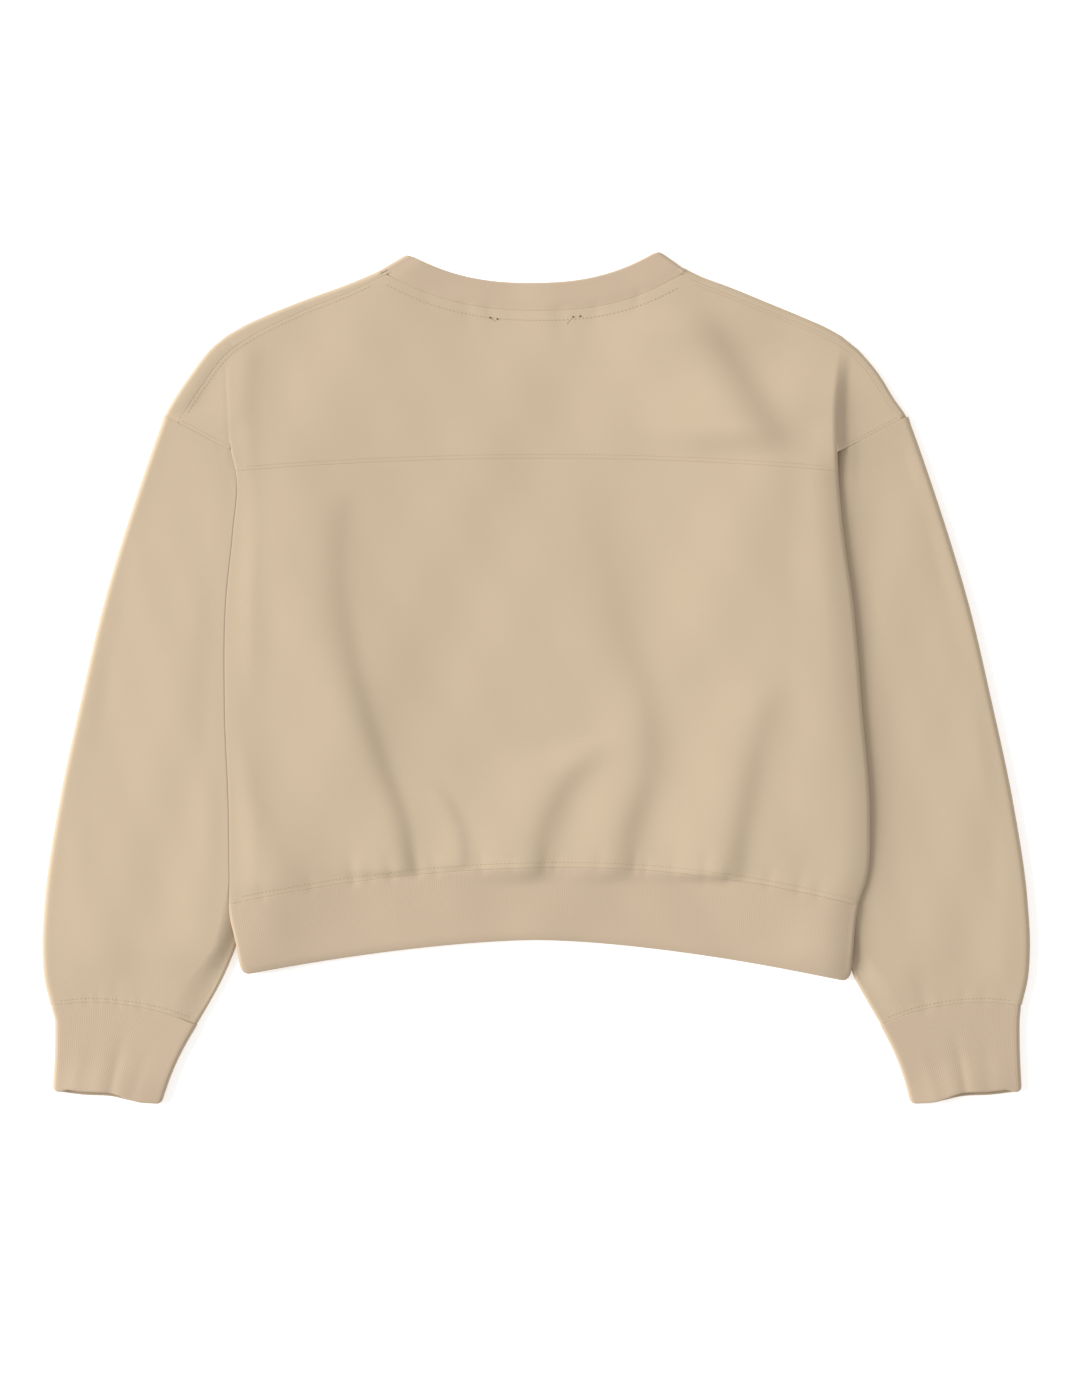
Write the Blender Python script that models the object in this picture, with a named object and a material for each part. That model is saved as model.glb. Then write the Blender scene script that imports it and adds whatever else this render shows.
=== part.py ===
"""A cropped crew-neck sweatshirt in brushed fleece, laid flat on its front so that the back shows.

Tables and sizes are in millimetres and become metres where a mesh is made. X runs across the garment,
Y from the hem to the neck and Z up from the surface it lies on. The sleeves lie beside the body with
their underarm sides tucked beneath it. Each piece is a single wall of cloth on its own middle surface.
"""

import math
from collections import namedtuple

import bmesh
import bpy
import numpy as np

MM = 0.001

# ---------------------------------------------------------------- cloth and layers
FLEECE = 2.2  # thickness of the brushed fleece
RIB = 2.8  # thickness of the doubled rib
SEAM_GAP = 0.5  # space left between two pieces along a seam
HEM_GAP = 0.9  # the same along the hem, where the gathers tilt the cut edge
BODY_AIR = 2.8  # air between the back and the front
SLEEVE_AIR = 1.4  # air between a sleeve's two walls at its folds
SLEEVE_PUFF = 1.5  # how much fuller a sleeve is along its middle
RIB_AIR = 1.6  # air inside a cuff
TUCK_RISE = 6.4  # how far a tucked sleeve holds the body off the floor
RIGHT_BILLOW = 1.6  # how much fuller the right-hand edge of the body stands

BODY_FOLD = (FLEECE + BODY_AIR) / 2  # radius of the fold down each side of the body
SLEEVE_FOLD = (FLEECE + SLEEVE_AIR) / 2
FRONT_LEVEL = FLEECE / 2
BACK_LEVEL = FRONT_LEVEL + FLEECE + BODY_AIR

# ---------------------------------------------------------------- outline
# Side edges of the body, and the inner edges of the sleeves tucked below it, from the hem to the shoulder.
Side = namedtuple("Side", "height left right tuck_left tuck_right")
SIDES = (
    Side(-230, 223, 238, 240, 245),
    Side(-205, 227, 240, 230, 236),
    Side(-174, 233, 243.5, 221, 227),
    Side(-148, 233.5, 251, 216, 222),
    Side(-102, 234, 253, 209, 213),
    Side(-21, 237, 247, 198, 201),
    Side(60, 236, 240, 194, 195),
    Side(110, 231, 233, 197, 197),
    Side(155, 228, 229, 203, 203),
    Side(178, 232, 228, 207, 207),
    Side(211, 234, 228, 212, 208),
    Side(250, 235.5, 232, 215, 212),
)

# Outer edge of each sleeve and its two inner edges, from the cuff to the shoulder.
Sleeve = namedtuple("Sleeve", "height outer inner_left inner_right")
SLEEVES = (
    Sleeve(-270, 366, 264, 268),
    Sleeve(-250, 368.8, 252, 256),
    Sleeve(-228, 373.8, 240, 244),
    Sleeve(-207, 375.2, 231, 236),
    Sleeve(-169, 373.4, 220, 225),
    Sleeve(-92, 362, 208, 211),
    Sleeve(-16, 345.8, 198, 200),
    Sleeve(60, 327.8, 194, 195),
    Sleeve(98, 316.7, 196, 196),
    Sleeve(137, 304.2, 200, 200),
    Sleeve(175, 291.3, 207, 207),
    Sleeve(206, 280, 214, 213),
)

# The cuff's seam and its end, at shares of the way from the inner edge to the outer one.
Cuff = namedtuple("Cuff", "share seam end_across end")
CUFFS = (
    Cuff(0.0, -262.5, 286.0, -323.5),
    Cuff(0.25, -254.0, 306.0, -322.0),
    Cuff(0.5, -248.5, 326.0, -318.0),
    Cuff(0.75, -246.0, 348.0, -317.0),
    Cuff(1.0, -248.0, 369.5, -314.5),
)

# The fold along the top of each shoulder, and how far the shoulder seam lies inside it on the back.
Shoulder = namedtuple("Shoulder", "across left right inset_left inset_right")
SHOULDERS = (
    Shoulder(108, 315.4, 314.4, 4.5, 3.5),
    Shoulder(125, 307.5, 305.8, 4.5, 4.0),
    Shoulder(143, 300.0, 299.2, 5.5, 4.5),
    Shoulder(175, 288.3, 286.2, 6.5, 4.5),
    Shoulder(203, 277.1, 274.6, 8.0, 4.5),
    Shoulder(224, 267.4, 265.0, 9.5, 4.0),
    Shoulder(240, 257.3, 254.6, 10.5, 3.5),
    Shoulder(250, 248.0, 244.4, 11.0, 3.5),
    Shoulder(262, 232.0, 229.2, 11.5, 3.5),
    Shoulder(272, 217.4, 212.8, 11.5, 3.5),
    Shoulder(280, 204.2, 201.6, 11.5, 3.5),
    Shoulder(287, 191.2, 190.0, 11.5, 3.5),
)

# Where the armhole seam lies, outwards from the underarm, on the back and on the front.
Armhole = namedtuple("Armhole", "across back front")
ARMHOLES = (
    Armhole(190, 162, 161),
    Armhole(207, 165.5, 164),
    Armhole(222, 170, 171),
    Armhole(233, 174.5, 181),
    Armhole(242, 179, 190),
    Armhole(262, 189.6, 195),
    Armhole(284, 200.4, 199.2),
    Armhole(292, 203.4, 201),
)

# A curve along a seam: its level at the middle and how far it moves from there at each reach.
Bow = namedtuple("Bow", "middle level reach_left change_left reach_right change_right power")
HEM_SEAM = Bow(22, -143.4, 255, -28, 220, -28, 2.0)
HEM_EDGE = Bow(0, -198.8, 224, -26.8, 236, -31.3, 1.6)
YOKE_SEAM = Bow(8, 168, 236, -10, 220, -10, 2.0)
NECK_SEAM = Bow(5, 280.6, 121, 29, 107, 28.5, 2.4)
NECK_EDGE = Bow(-3, 301.9, 95, 22, 98, 25.8, 2.4)
FRONT_NECK_SEAM = Bow(-2, 207, 114, 101, 114, 101, 3.2)
FRONT_NECK_EDGE = Bow(-3, 229, 97, 91, 96, 95, 3.0)
# Places of the front neck seam's points, close together where it runs steeply.
FRONT_NECK_PLACES = (
    (-115.8, -112.5, -107, -98, -87, -73, -56, -37, -16)
    + (5, 26, 45, 62, 76, 88, 97, 104, 108.5, 111.5)
)
TIP_LEAN = (0.4, 0.68)  # which way a tip's fold faces, across and up
NECK_SINK = 2.2  # how far the back sinks into the neck's opening
NECK_LEFT, NECK_RIGHT = -116.0, 112.0  # where the neck seam turns over the shoulder folds
TIP_LEFT, TIP_RIGHT = -94.8, 90.2  # where the collar's free edge turns over

YOKE_TOP_AT_EDGE = 256  # height at which the body's side edges reach the shoulder seam
UNDERARM = (160, 182)  # heights between which the side folds open out into the shoulder caps
HEM_RIB_TOP, HEM_RIB_DROP = -171, 54  # heights over which the hem rib follows the side edges
CAP_OUTER, CAP_INNER = 280.5, 242.0  # the shoulder caps of the front reach from one to the other
CAP_LEAN = 3.0  # how far the foot of their innermost column lies inside its top
UNDERARM_NOTCH = 13  # how far the front's side edges are cut in below the armholes
CAP_LEAST = 2.5  # a cap of the yoke ends where it is only this high

# ---------------------------------------------------------------- folds
# A crease runs through three points. `flank` is a step down towards the right, `dip` a plain hollow.
Fold = namedtuple("Fold", "top middle foot width flank dip")
FOLDS = (
    Fold((-146, 150), (-147, 30), (-98, -143), 17, 2.0, 0.4),
    Fold((-122, -46), (-105, -95), (-98, -143), 9, 0.5, 0.8),
    Fold((-224, -40), (-206, -102), (-184, -158), 15, 1.4, 0.3),
    Fold((-82, -70), (-62, -102), (-54, -143), 11, 0.9, 0.2),
    Fold((60, -38), (20, -88), (4, -143), 14, 2.2, 0.5),
    Fold((66, 70), (88, -35), (66, -143), 17, 1.9, 0.4),
    Fold((186, 0), (166, -70), (152, -147), 15, 2.0, 0.4),
    Fold((236, -90), (229, -125), (222, -158), 10, 1.2, 0.2),
    Fold((132, 282), (160, 222), (196, 160), 15, 1.9, 0.7),
    Fold((-219, 235), (-203, 180), (-214, 120), 15, 0.0, 1.3),
)
DEEPEST = 2.2  # no hollow sinks further than this
FOLD_FADE = 45  # a fold grows to its full depth over this length from its upper end
FOLD_SEAM_FADE = 9  # and dies away over this length at a seam

# ---------------------------------------------------------------- colours, linear
FLEECE_COLOUR = (0.604, 0.479, 0.333, 1)
RIB_COLOUR = (0.617, 0.470, 0.327, 1)
CLOTH_ROUGHNESS = 0.9


def ease(value, start, end):
    """Rises smoothly from 0 at start to 1 at end."""
    t = np.clip((np.asarray(value, float) - start) / (end - start), 0, 1)
    return t * t * (3 - 2 * t)


def along(table, column, at):
    """A column of a table, read on a smooth curve through its rows."""
    places = np.array([row[0] for row in table], float)
    values = np.array([getattr(row, column) for row in table], float)
    slopes = np.gradient(values, places)
    at = np.clip(np.asarray(at, float), places[0], places[-1])
    row = np.clip(np.searchsorted(places, at) - 1, 0, len(places) - 2)
    span = places[row + 1] - places[row]
    t = (at - places[row]) / span
    return (
        (2 * t**3 - 3 * t**2 + 1) * values[row]
        + (t**3 - 2 * t**2 + t) * span * slopes[row]
        + (3 * t**2 - 2 * t**3) * values[row + 1]
        + (t**3 - t**2) * span * slopes[row + 1]
    )


def bowed(bow, across):
    """The Y of a seam or edge at a place across the garment."""
    offset = np.asarray(across, float) - bow.middle
    left = bow.change_left * (np.clip(-offset, 0, None) / bow.reach_left) ** bow.power
    right = bow.change_right * (np.clip(offset, 0, None) / bow.reach_right) ** bow.power
    return bow.level + left + right


def seam_share(bow, across):
    """Half the seam gap, measured along Y where the seam runs steeply."""
    slope = bowed(bow, across + 0.5) - bowed(bow, across - 0.5)
    return SEAM_GAP / 2 * np.sqrt(1 + slope**2)


def side_value(x, y, name):
    """The left or the right column of SIDES, by the side that x is on."""
    return np.where(
        np.asarray(x, float) < 0, along(SIDES, name + "left", y), along(SIDES, name + "right", y)
    )


def past_edge(x, y):
    """How far a point lies outside the body's side edge, less than 0 inside it."""
    return np.abs(x) - side_value(x, y, "")


def fold_height(x, y):
    """How far the creases of the back lift or lower its cloth."""
    height = np.zeros_like(np.asarray(x, float))
    for fold in FOLDS:
        (x0, y0), (x1, y1), (x2, y2) = fold.top, fold.middle, fold.foot
        t = (y - y0) / (y2 - y0)
        bend = ((x1 - x0) - (x2 - x0) * (y1 - y0) / (y2 - y0)) / (
            ((y1 - y0) / (y2 - y0)) * (1 - (y1 - y0) / (y2 - y0))
        )
        line = x0 + (x2 - x0) * t + bend * np.clip(t, 0, 1) * (1 - np.clip(t, 0, 1))
        s = (x - line) / fold.width
        strength = ease(y, y0 + 6, y0 - FOLD_FADE)
        strength = strength * ease(y, y2 - 1, y2 + FOLD_SEAM_FADE)
        flank = -fold.flank * math.sqrt(2) * s * np.exp(0.5 - s * s)
        height += strength * (flank - fold.dip * np.exp(-s * s))
    height *= 1 - ease(past_edge(x, y), -22, -4)
    return np.where(height < 0, -DEEPEST * np.tanh(-height / DEEPEST), height)


def front_rise(x, y):
    """How far the front is held up by the tucked sleeves."""
    tuck = side_value(x, y, "tuck_")
    inside = past_edge(x, y)
    rise = TUCK_RISE * ease(np.abs(x), tuck - 36, tuck - 5)
    rise = rise * (1 - ease(y, 184, 214)) * (0.35 + 0.65 * ease(y, -235, -205))
    return rise * (1 - ease(inside, -24, -4) * ease(y, 178, 186))


def back_height(x, y):
    """The middle surface of the back, the yoke and the hem rib's upper wall."""
    tuck = side_value(x, y, "tuck_")
    inside = past_edge(x, y)
    rise = TUCK_RISE * ease(np.abs(x), tuck - 54, tuck - 6)
    rise = rise * (1 - ease(y, 186, 254)) * (0.35 + 0.65 * ease(y, -235, -205))
    billow = RIGHT_BILLOW * ease(x, 188, 226) * ease(y, -160, -90) * (1 - ease(y, 120, 235))
    rise = (rise + billow) * (1 - ease(inside, -7, 2) * ease(y, *UNDERARM))
    sink = NECK_SINK * ease(y, 225, 275) * ease(np.abs(x), 115, 15)
    return BACK_LEVEL + rise + fold_height(x, y) - sink


def side_seam_height(x, y):
    """The height of the seam down the body's side fold."""
    return (FRONT_LEVEL + front_rise(x, y) + back_height(x, y)) / 2


def shoulder_point(side, across, inwards):
    """A point on the shoulder fold, moved in along the cloth, and the direction inwards. Side is -1 or 1."""
    name = "left" if side < 0 else "right"
    y = along(SHOULDERS, name, across)
    slope = along(SHOULDERS, name, across + 0.5) - along(SHOULDERS, name, across - 0.5)
    length = np.sqrt(1 + slope**2)
    inward = np.array([side * slope / length, -1 / length])
    return np.array([side * across, y]) + inward * inwards, inward


def shoulder_seam(side, gap):
    """X and Y along the shoulder seam on the back, with a gap inside it."""
    name = "inset_left" if side < 0 else "inset_right"
    places = np.linspace(109, 286, 90)
    points = [shoulder_point(side, a, float(along(SHOULDERS, name, a)) + gap)[0] for a in places]
    return np.array(points)


def top_of_yoke(x):
    """The Y of the yoke's upper edge: the neck seam, with a shoulder seam on each side of it."""
    left, right = shoulder_seam(-1, SEAM_GAP / 2), shoulder_seam(1, SEAM_GAP / 2)
    neck = bowed(NECK_SEAM, x) - SEAM_GAP / 2
    by_left = np.interp(x, left[::-1, 0], left[::-1, 1])
    by_right = np.interp(x, right[:, 0], right[:, 1])
    return np.minimum(neck, np.where(np.asarray(x) < 0, by_left, by_right))


# ---------------------------------------------------------------- making meshes
def material(name, colour):
    made = bpy.data.materials.new(name)
    made.use_nodes = True
    shader = made.node_tree.nodes["Principled BSDF"]
    shader.inputs["Base Color"].default_value = colour
    shader.inputs["Roughness"].default_value = CLOTH_ROUGHNESS
    shader.inputs["Metallic"].default_value = 0.0
    return made


def cloth_piece(name, points, thickness, colour, wraps=False, left_out=None):
    """A wall of cloth round a grid of points, given as rows by columns by XYZ in millimetres.

    wraps joins the last column to the first, and left_out names the cells with no cloth.
    """
    shape = bmesh.new()
    corners = [[shape.verts.new(point * MM) for point in row] for row in np.asarray(points, float)]
    columns = len(corners[0])
    for r in range(len(corners) - 1):
        for c in range(columns if wraps else columns - 1):
            if left_out is not None and left_out[r][c]:
                continue
            beside = (c + 1) % columns
            shape.faces.new(
                (corners[r][c], corners[r][beside], corners[r + 1][beside], corners[r + 1][c])
            )
    loose = [corner for corner in shape.verts if not corner.link_faces]
    bmesh.ops.delete(shape, geom=loose, context="VERTS")
    mesh = bpy.data.meshes.new(name)
    shape.to_mesh(mesh)
    shape.free()
    mesh.shade_smooth()
    piece = bpy.data.objects.new(name, mesh)
    bpy.context.scene.collection.objects.link(piece)
    wall = piece.modifiers.new("thickness of the cloth", "SOLIDIFY")
    wall.thickness = thickness * MM
    wall.offset = 0
    mesh.materials.append(material(name, colour))
    return piece


# ---------------------------------------------------------------- body
EDGE_STEPS = (0.0, 0.05, 0.5, 1.4, 2.5, 6.0, 11.0)  # places of the columns in from a side edge


def body_columns(left, right, count):
    """Places across a row of the body: close together at its edges, even between them."""
    inner = np.linspace(left + EDGE_STEPS[-1], right - EDGE_STEPS[-1], count)[1:-1]
    steps = np.array(EDGE_STEPS)
    return np.concatenate([left + steps, inner, right - steps[::-1]])


def edge_drop(inside):
    """How far a cloth has turned down its side fold, at a distance inside the edge."""
    depth = np.clip(BODY_FOLD - inside, 0, BODY_FOLD)
    return BODY_FOLD - np.sqrt(BODY_FOLD**2 - depth**2)


def turned_down(x, y, inside, share=1.0):
    """The back's height, with its side edges turned down to the side seam."""
    flat = back_height(x, y)
    seam = side_seam_height(x, y) + SEAM_GAP / 2
    return flat - (flat - seam) * edge_drop(inside) / BODY_FOLD * share


def make_back():
    """The lower back panel, from the hem seam to the yoke seam."""
    rows = []
    for v in np.linspace(0, 1, 16):
        middle = HEM_SEAM.level + (YOKE_SEAM.level - HEM_SEAM.level) * v
        low, high = HEM_SEAM.change_left * (1 - v), YOKE_SEAM.change_left * v
        edge_y = middle + low + high
        left, right = -along(SIDES, "left", edge_y), along(SIDES, "right", edge_y)
        x = body_columns(left, right, 38)
        bottom, top = bowed(HEM_SEAM, x) + HEM_GAP / 2, bowed(YOKE_SEAM, x) - SEAM_GAP / 2
        y = bottom + (top - bottom) * v
        inside = np.minimum(x - left, right - x)
        rows.append(np.stack([x, y, turned_down(x, y, inside)], axis=1))
    cloth_piece("back", rows, FLEECE, FLEECE_COLOUR)


def make_yoke():
    """The back yoke, with a shoulder cap past each side edge of the body."""
    heights = (0, 0.1, 0.2, 0.3, 0.42, 0.56, 0.7, 0.85, 1.0)
    cap_from = 2  # the row at which the armholes start
    cap_share = np.linspace(1, 0, 8)[:-1]
    reach = {}
    for side, name in ((-1, "left"), (1, "right")):
        seam = shoulder_seam(side, SEAM_GAP / 2)
        above = seam[:, 1] - along(ARMHOLES, "back", np.abs(seam[:, 0])) - SEAM_GAP / 2
        last = np.where(above > CAP_LEAST)[0][-1]
        reach[name] = abs(seam[last, 0])
    start_y = float(bowed(YOKE_SEAM, -228))
    rows, left_out = [], []
    for r, v in enumerate(heights):
        edge_y = start_y + (YOKE_TOP_AT_EDGE - start_y) * v
        left, right = -float(along(SIDES, "left", edge_y)), float(along(SIDES, "right", edge_y))
        body = body_columns(left, right, 36)
        bottom = bowed(YOKE_SEAM, body) + SEAM_GAP / 2
        top = top_of_yoke(body)
        y = bottom + (top - bottom) * v
        inside = np.minimum(body - left, right - body)
        z = turned_down(body, y, inside, 1 - ease(y, *UNDERARM))
        row = np.stack([body, y, z], axis=1)
        cap_v = max(v - heights[cap_from], 0) / (1 - heights[cap_from])
        caps = []
        for side, name, edge in ((-1, "left", left), (1, "right", right)):
            x = edge + (side * reach[name] - edge) * cap_share
            low = along(ARMHOLES, "back", np.abs(x)) + SEAM_GAP / 2
            cap_y = low + (top_of_yoke(x) - low) * cap_v
            caps.append(np.stack([x, cap_y, back_height(x, cap_y)], axis=1))
        rows.append(np.concatenate([caps[0], row, caps[1][::-1]]))
    cells = len(rows[0]) - 1
    caps = len(cap_share)
    for r in range(len(heights) - 1):
        outside = np.zeros(cells, bool)
        if r < cap_from:
            outside[:caps] = True
            outside[-caps:] = True
        left_out.append(outside)
    cloth_piece("back_yoke", rows, FLEECE, FLEECE_COLOUR, left_out=left_out)


def front_edge(x, y):
    """Half the front's width at a height: the side edge, notched inwards under the armhole."""
    notch = UNDERARM_NOTCH * float(ease(y, 160, 173) * (1 - ease(y, 192, 222)))
    return float(side_value(x, y, "")) - notch


def make_front():
    """The front panel under the body, over the shoulder folds and up to the shoulder seams."""
    low_share = tuple(np.linspace(0, 0.765, 12)) + (0.79, 0.815, 0.8415)
    shares = low_share + (0.88, 0.92, 0.96, 1.0)
    cap_from = len(low_share) - 1
    wraps = (30, 60, 90, 120, 150, 180)  # degrees round the shoulder fold
    cap_across = np.linspace(CAP_OUTER, CAP_INNER, 8)
    turn_left = ((121.5, 1.0), (120.2, 0.66), (119.0, 0.33))
    turn_right = ((117.5, 1.0), (116.2, 0.66), (115.0, 0.33))
    plain = (225, 212, 198, 184, 170, 156, 142, 130)

    columns = []
    for across in cap_across:
        columns.append(("cap", -1, across, 1.0))
    edge_steps = (0, 0.05, 0.6, 1.6, 2.6)
    for inset in edge_steps:
        columns.append(("edge", -1, inset, 1.0))
    columns += [("shoulder", -1, across, 1.0) for across in plain]
    columns += [("shoulder", -1, across, share) for across, share in turn_left]
    columns += [("neck", 0, x, 0.0) for x in FRONT_NECK_PLACES]
    columns += [("shoulder", 1, across, share) for across, share in reversed(turn_right)]
    columns += [("shoulder", 1, across, 1.0) for across in reversed(plain)]
    for inset in reversed(edge_steps):
        columns.append(("edge", 1, inset, 1.0))
    for across in reversed(cap_across):
        columns.append(("cap", 1, across, 1.0))

    grid = np.zeros((len(shares) + len(wraps) + 1, len(columns), 3))
    for c, (kind, side, place, share) in enumerate(columns):
        name = "left" if side < 0 else "right"
        if kind == "neck":
            top_x, top_y = place, float(bowed(FRONT_NECK_SEAM, place))
            top_y -= float(seam_share(FRONT_NECK_SEAM, place))
        else:
            across = float(along(SIDES, name, YOKE_TOP_AT_EDGE)) - place if kind == "edge" else place
            (top_x, top_y), inward = shoulder_point(side, across, BODY_FOLD)
        for r, v in enumerate(shares):
            if kind == "cap":
                v = max(v - shares[cap_from], 0) / (1 - shares[cap_from])
                low_x = side * (across - CAP_LEAN * (CAP_OUTER - across) / (CAP_OUTER - CAP_INNER))
                low_y = float(along(ARMHOLES, "front", abs(low_x))) + SEAM_GAP / 2
                x, y = low_x + (top_x - low_x) * v, low_y + (top_y - low_y) * v
                z = FRONT_LEVEL + float(front_rise(x, y))
            else:
                low_y = float(bowed(HEM_SEAM, top_x)) + HEM_GAP / 2
                y = low_y + (top_y - low_y) * v
                edge = front_edge(top_x, y)
                if kind == "edge":
                    settle = float(ease(v, shares[cap_from], 1))
                    x = side * (edge - place)
                    x += (top_x - x) * settle
                else:
                    x = top_x * edge / front_edge(top_x, top_y)
                z = FRONT_LEVEL + float(front_rise(x, y))
                if kind == "edge":
                    seam = float(side_seam_height(side * edge, y)) - SEAM_GAP / 2
                    turned = float(edge_drop(place)) / BODY_FOLD * (1 - float(ease(y, 158, 170)))
                    z += (seam - z) * turned
            grid[r, c] = x, y, z
        base = len(shares)
        if kind == "neck":
            back = grid[base - 2, c, :2] - grid[base - 1, c, :2]
            back *= 3.0 / np.linalg.norm(back)
            end = grid[base - 1, c, :2].copy()
            grid[base - 1, c, :2] = end + back
            for w in range(len(wraps) + 1):
                grid[base + w, c] = *(end + back * (1 - (w + 1) / (len(wraps) + 1))), FRONT_LEVEL
            continue
        for w, angle in enumerate(wraps):
            turn = math.radians(angle * share)
            outward = -inward * BODY_FOLD * math.sin(turn)
            grid[base + w, c, :2] = np.array([top_x, top_y]) + outward
            grid[base + w, c, 2] = FRONT_LEVEL + BODY_FOLD * (1 - math.cos(turn))
        last = np.array(grid[base + len(wraps) - 1, c])
        if share == 1.0:
            inset = float(along(SHOULDERS, "inset_" + name, across)) - SEAM_GAP / 2
            last[:2] = shoulder_point(side, across, inset)[0]
            last[2] = BACK_LEVEL
        else:
            turn = math.radians(wraps[-1] * share + 8)
            last[:2] = np.array([top_x, top_y]) - inward * BODY_FOLD * math.sin(turn)
            last[2] = FRONT_LEVEL + BODY_FOLD * (1 - math.cos(turn))
        grid[base + len(wraps), c] = last
    cells = len(columns) - 1
    left_out = []
    for r in range(len(grid) - 1):
        outside = np.zeros(cells, bool)
        if r < cap_from:
            outside[: len(cap_across)] = True
            outside[-len(cap_across) :] = True
        left_out.append(outside)
    cloth_piece("front", grid, FLEECE, FLEECE_COLOUR, left_out=left_out)


# ---------------------------------------------------------------- tubes
def loop_places(across_count, turn_count):
    """Stations round a flattened tube: (share across, degrees round a fold, upper or lower)."""
    places = [(u, None, "upper") for u in np.linspace(0, 1, across_count)]
    places += [(1.0, a, "outer") for a in np.linspace(0, 180, turn_count + 2)[1:-1]]
    places += [(u, None, "lower") for u in np.linspace(1, 0, across_count)]
    places += [(0.0, a, "inner") for a in np.linspace(180, 0, turn_count + 2)[1:-1]]
    return places


def sleeve_across(u, y, side):
    """The place at a share of the way across a sleeve's wall, between its folds."""
    inner_name = "inner_left" if side < 0 else "inner_right"
    inner = float(along(SLEEVES, inner_name, y)) + SLEEVE_FOLD
    outer = float(along(SLEEVES, "outer", y)) - SLEEVE_FOLD
    return inner + (outer - inner) * u


def make_sleeve(name, side):
    """A sleeve from the cuff seam to the armhole, flattened, with its inner edge under the body."""
    rows = []
    for v in np.linspace(0, 1, 17):
        row = []
        for u, angle, wall in loop_places(11, 3):
            x = 250.0 + 100 * u
            for _ in range(6):  # the place across and the height depend on each other
                low = float(along(CUFFS, "seam", u)) + SEAM_GAP / 2
                column = "front" if wall == "lower" else "back"
                high = float(along(ARMHOLES, column, x)) - SEAM_GAP / 2
                if angle is not None:
                    other = float(along(ARMHOLES, "front", x)) - SEAM_GAP / 2
                    high += (other - high) * angle / 180
                y = low + (high - low) * v
                x = sleeve_across(u, y, side)
            puff = sleeve_puff(x, y, u, side)
            if wall == "upper":
                z = FRONT_LEVEL + 2 * SLEEVE_FOLD + puff
            elif wall == "lower":
                z = FRONT_LEVEL
            else:
                turn = math.radians(angle)
                z = FRONT_LEVEL + SLEEVE_FOLD * (1 + math.cos(turn))
                x += SLEEVE_FOLD * math.sin(turn) * (1 if wall == "outer" else -1)
            row.append((side * x, y, z))
        rows.append(row)
    cloth_piece(name, rows, FLEECE, FLEECE_COLOUR, wraps=True)


def sleeve_puff(x, y, u, side):
    """How much higher a sleeve's upper wall stands than at its folds."""
    open_part = float(ease(past_edge(side * x, y), 2, 26) * (1 - ease(u, 0.9, 1.0)))
    puff = SLEEVE_PUFF * open_part
    at_armhole = float(ease(y, 120, 176)) * float(ease(past_edge(side * x, y), 0, 8))
    level_with_cap = BACK_LEVEL - FRONT_LEVEL - 2 * SLEEVE_FOLD
    at_cuff = float(ease(y, -215, -246))
    puff += (level_with_cap - puff) * at_armhole
    tucked_end = float(ease(y, 140, 168)) * (1 - float(ease(past_edge(side * x, y), -4, 6)))
    return puff * (1 - 0.6 * at_cuff) - 0.8 * tucked_end


CUFF_LIP = 2.8  # how far the lower wall shows past the upper one at the cuff's end
CUFF_FOLD = (RIB + RIB_AIR) / 2
CUFF_LEVEL = RIB / 2


def make_cuff(name, side):
    """A cuff: a ring of doubled rib, narrower at its end."""
    rows = []
    for v in np.linspace(0, 1, 6):
        row = []
        for u, angle, wall in loop_places(9, 3):
            low = float(along(CUFFS, "seam", u)) - SEAM_GAP / 2
            seam_x = sleeve_across(u, low, side)
            end_x = float(along(CUFFS, "end_across", u)) + CUFF_FOLD * (1 - 2 * u)
            high = float(along(CUFFS, "end", u))
            if wall == "upper":
                high += CUFF_LIP * math.sin(math.pi * u) ** 2
            x = seam_x + (end_x - seam_x) * v
            y = low + (high - low) * v
            if wall == "upper":
                z = CUFF_LEVEL + 2 * CUFF_FOLD
            elif wall == "lower":
                z = CUFF_LEVEL
            else:
                turn = math.radians(angle)
                z = CUFF_LEVEL + CUFF_FOLD * (1 + math.cos(turn))
                x += CUFF_FOLD * math.sin(turn) * (1 if wall == "outer" else -1)
            row.append((side * x, y, z))
        rows.append(row)
    cloth_piece(name, rows, RIB, RIB_COLOUR, wraps=True)


def make_hem_rib():
    """The hem rib: a ring of doubled rib round the bottom of the body."""
    rows = []
    for v in np.linspace(0, 1, 5):
        edge_y = HEM_RIB_TOP - HEM_RIB_DROP * v
        left = -float(along(SIDES, "left", edge_y)) + BODY_FOLD
        right = float(along(SIDES, "right", edge_y)) - BODY_FOLD
        row = []
        for u, angle, wall in loop_places(30, 3):
            x = left + (right - left) * u
            top, bottom = float(bowed(HEM_SEAM, x)) - HEM_GAP / 2, float(bowed(HEM_EDGE, x))
            y = top + (bottom - top) * v
            upper = float(back_height(x, y))
            lower = RIB / 2 + float(front_rise(x, y))
            if wall == "upper":
                z = upper
            elif wall == "lower":
                z = lower
            else:
                turn = math.radians(angle)
                z = (upper + lower) / 2 + (upper - lower) / 2 * math.cos(turn)
                x += BODY_FOLD * math.sin(turn) * (1 if wall == "outer" else -1)
            row.append((x, y, z))
        rows.append(row)
    cloth_piece("hem_rib", rows, RIB, RIB_COLOUR, wraps=True)


COLLAR_FOLD = BODY_FOLD - 0.3
COLLAR_LEVEL = RIB / 2


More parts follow.
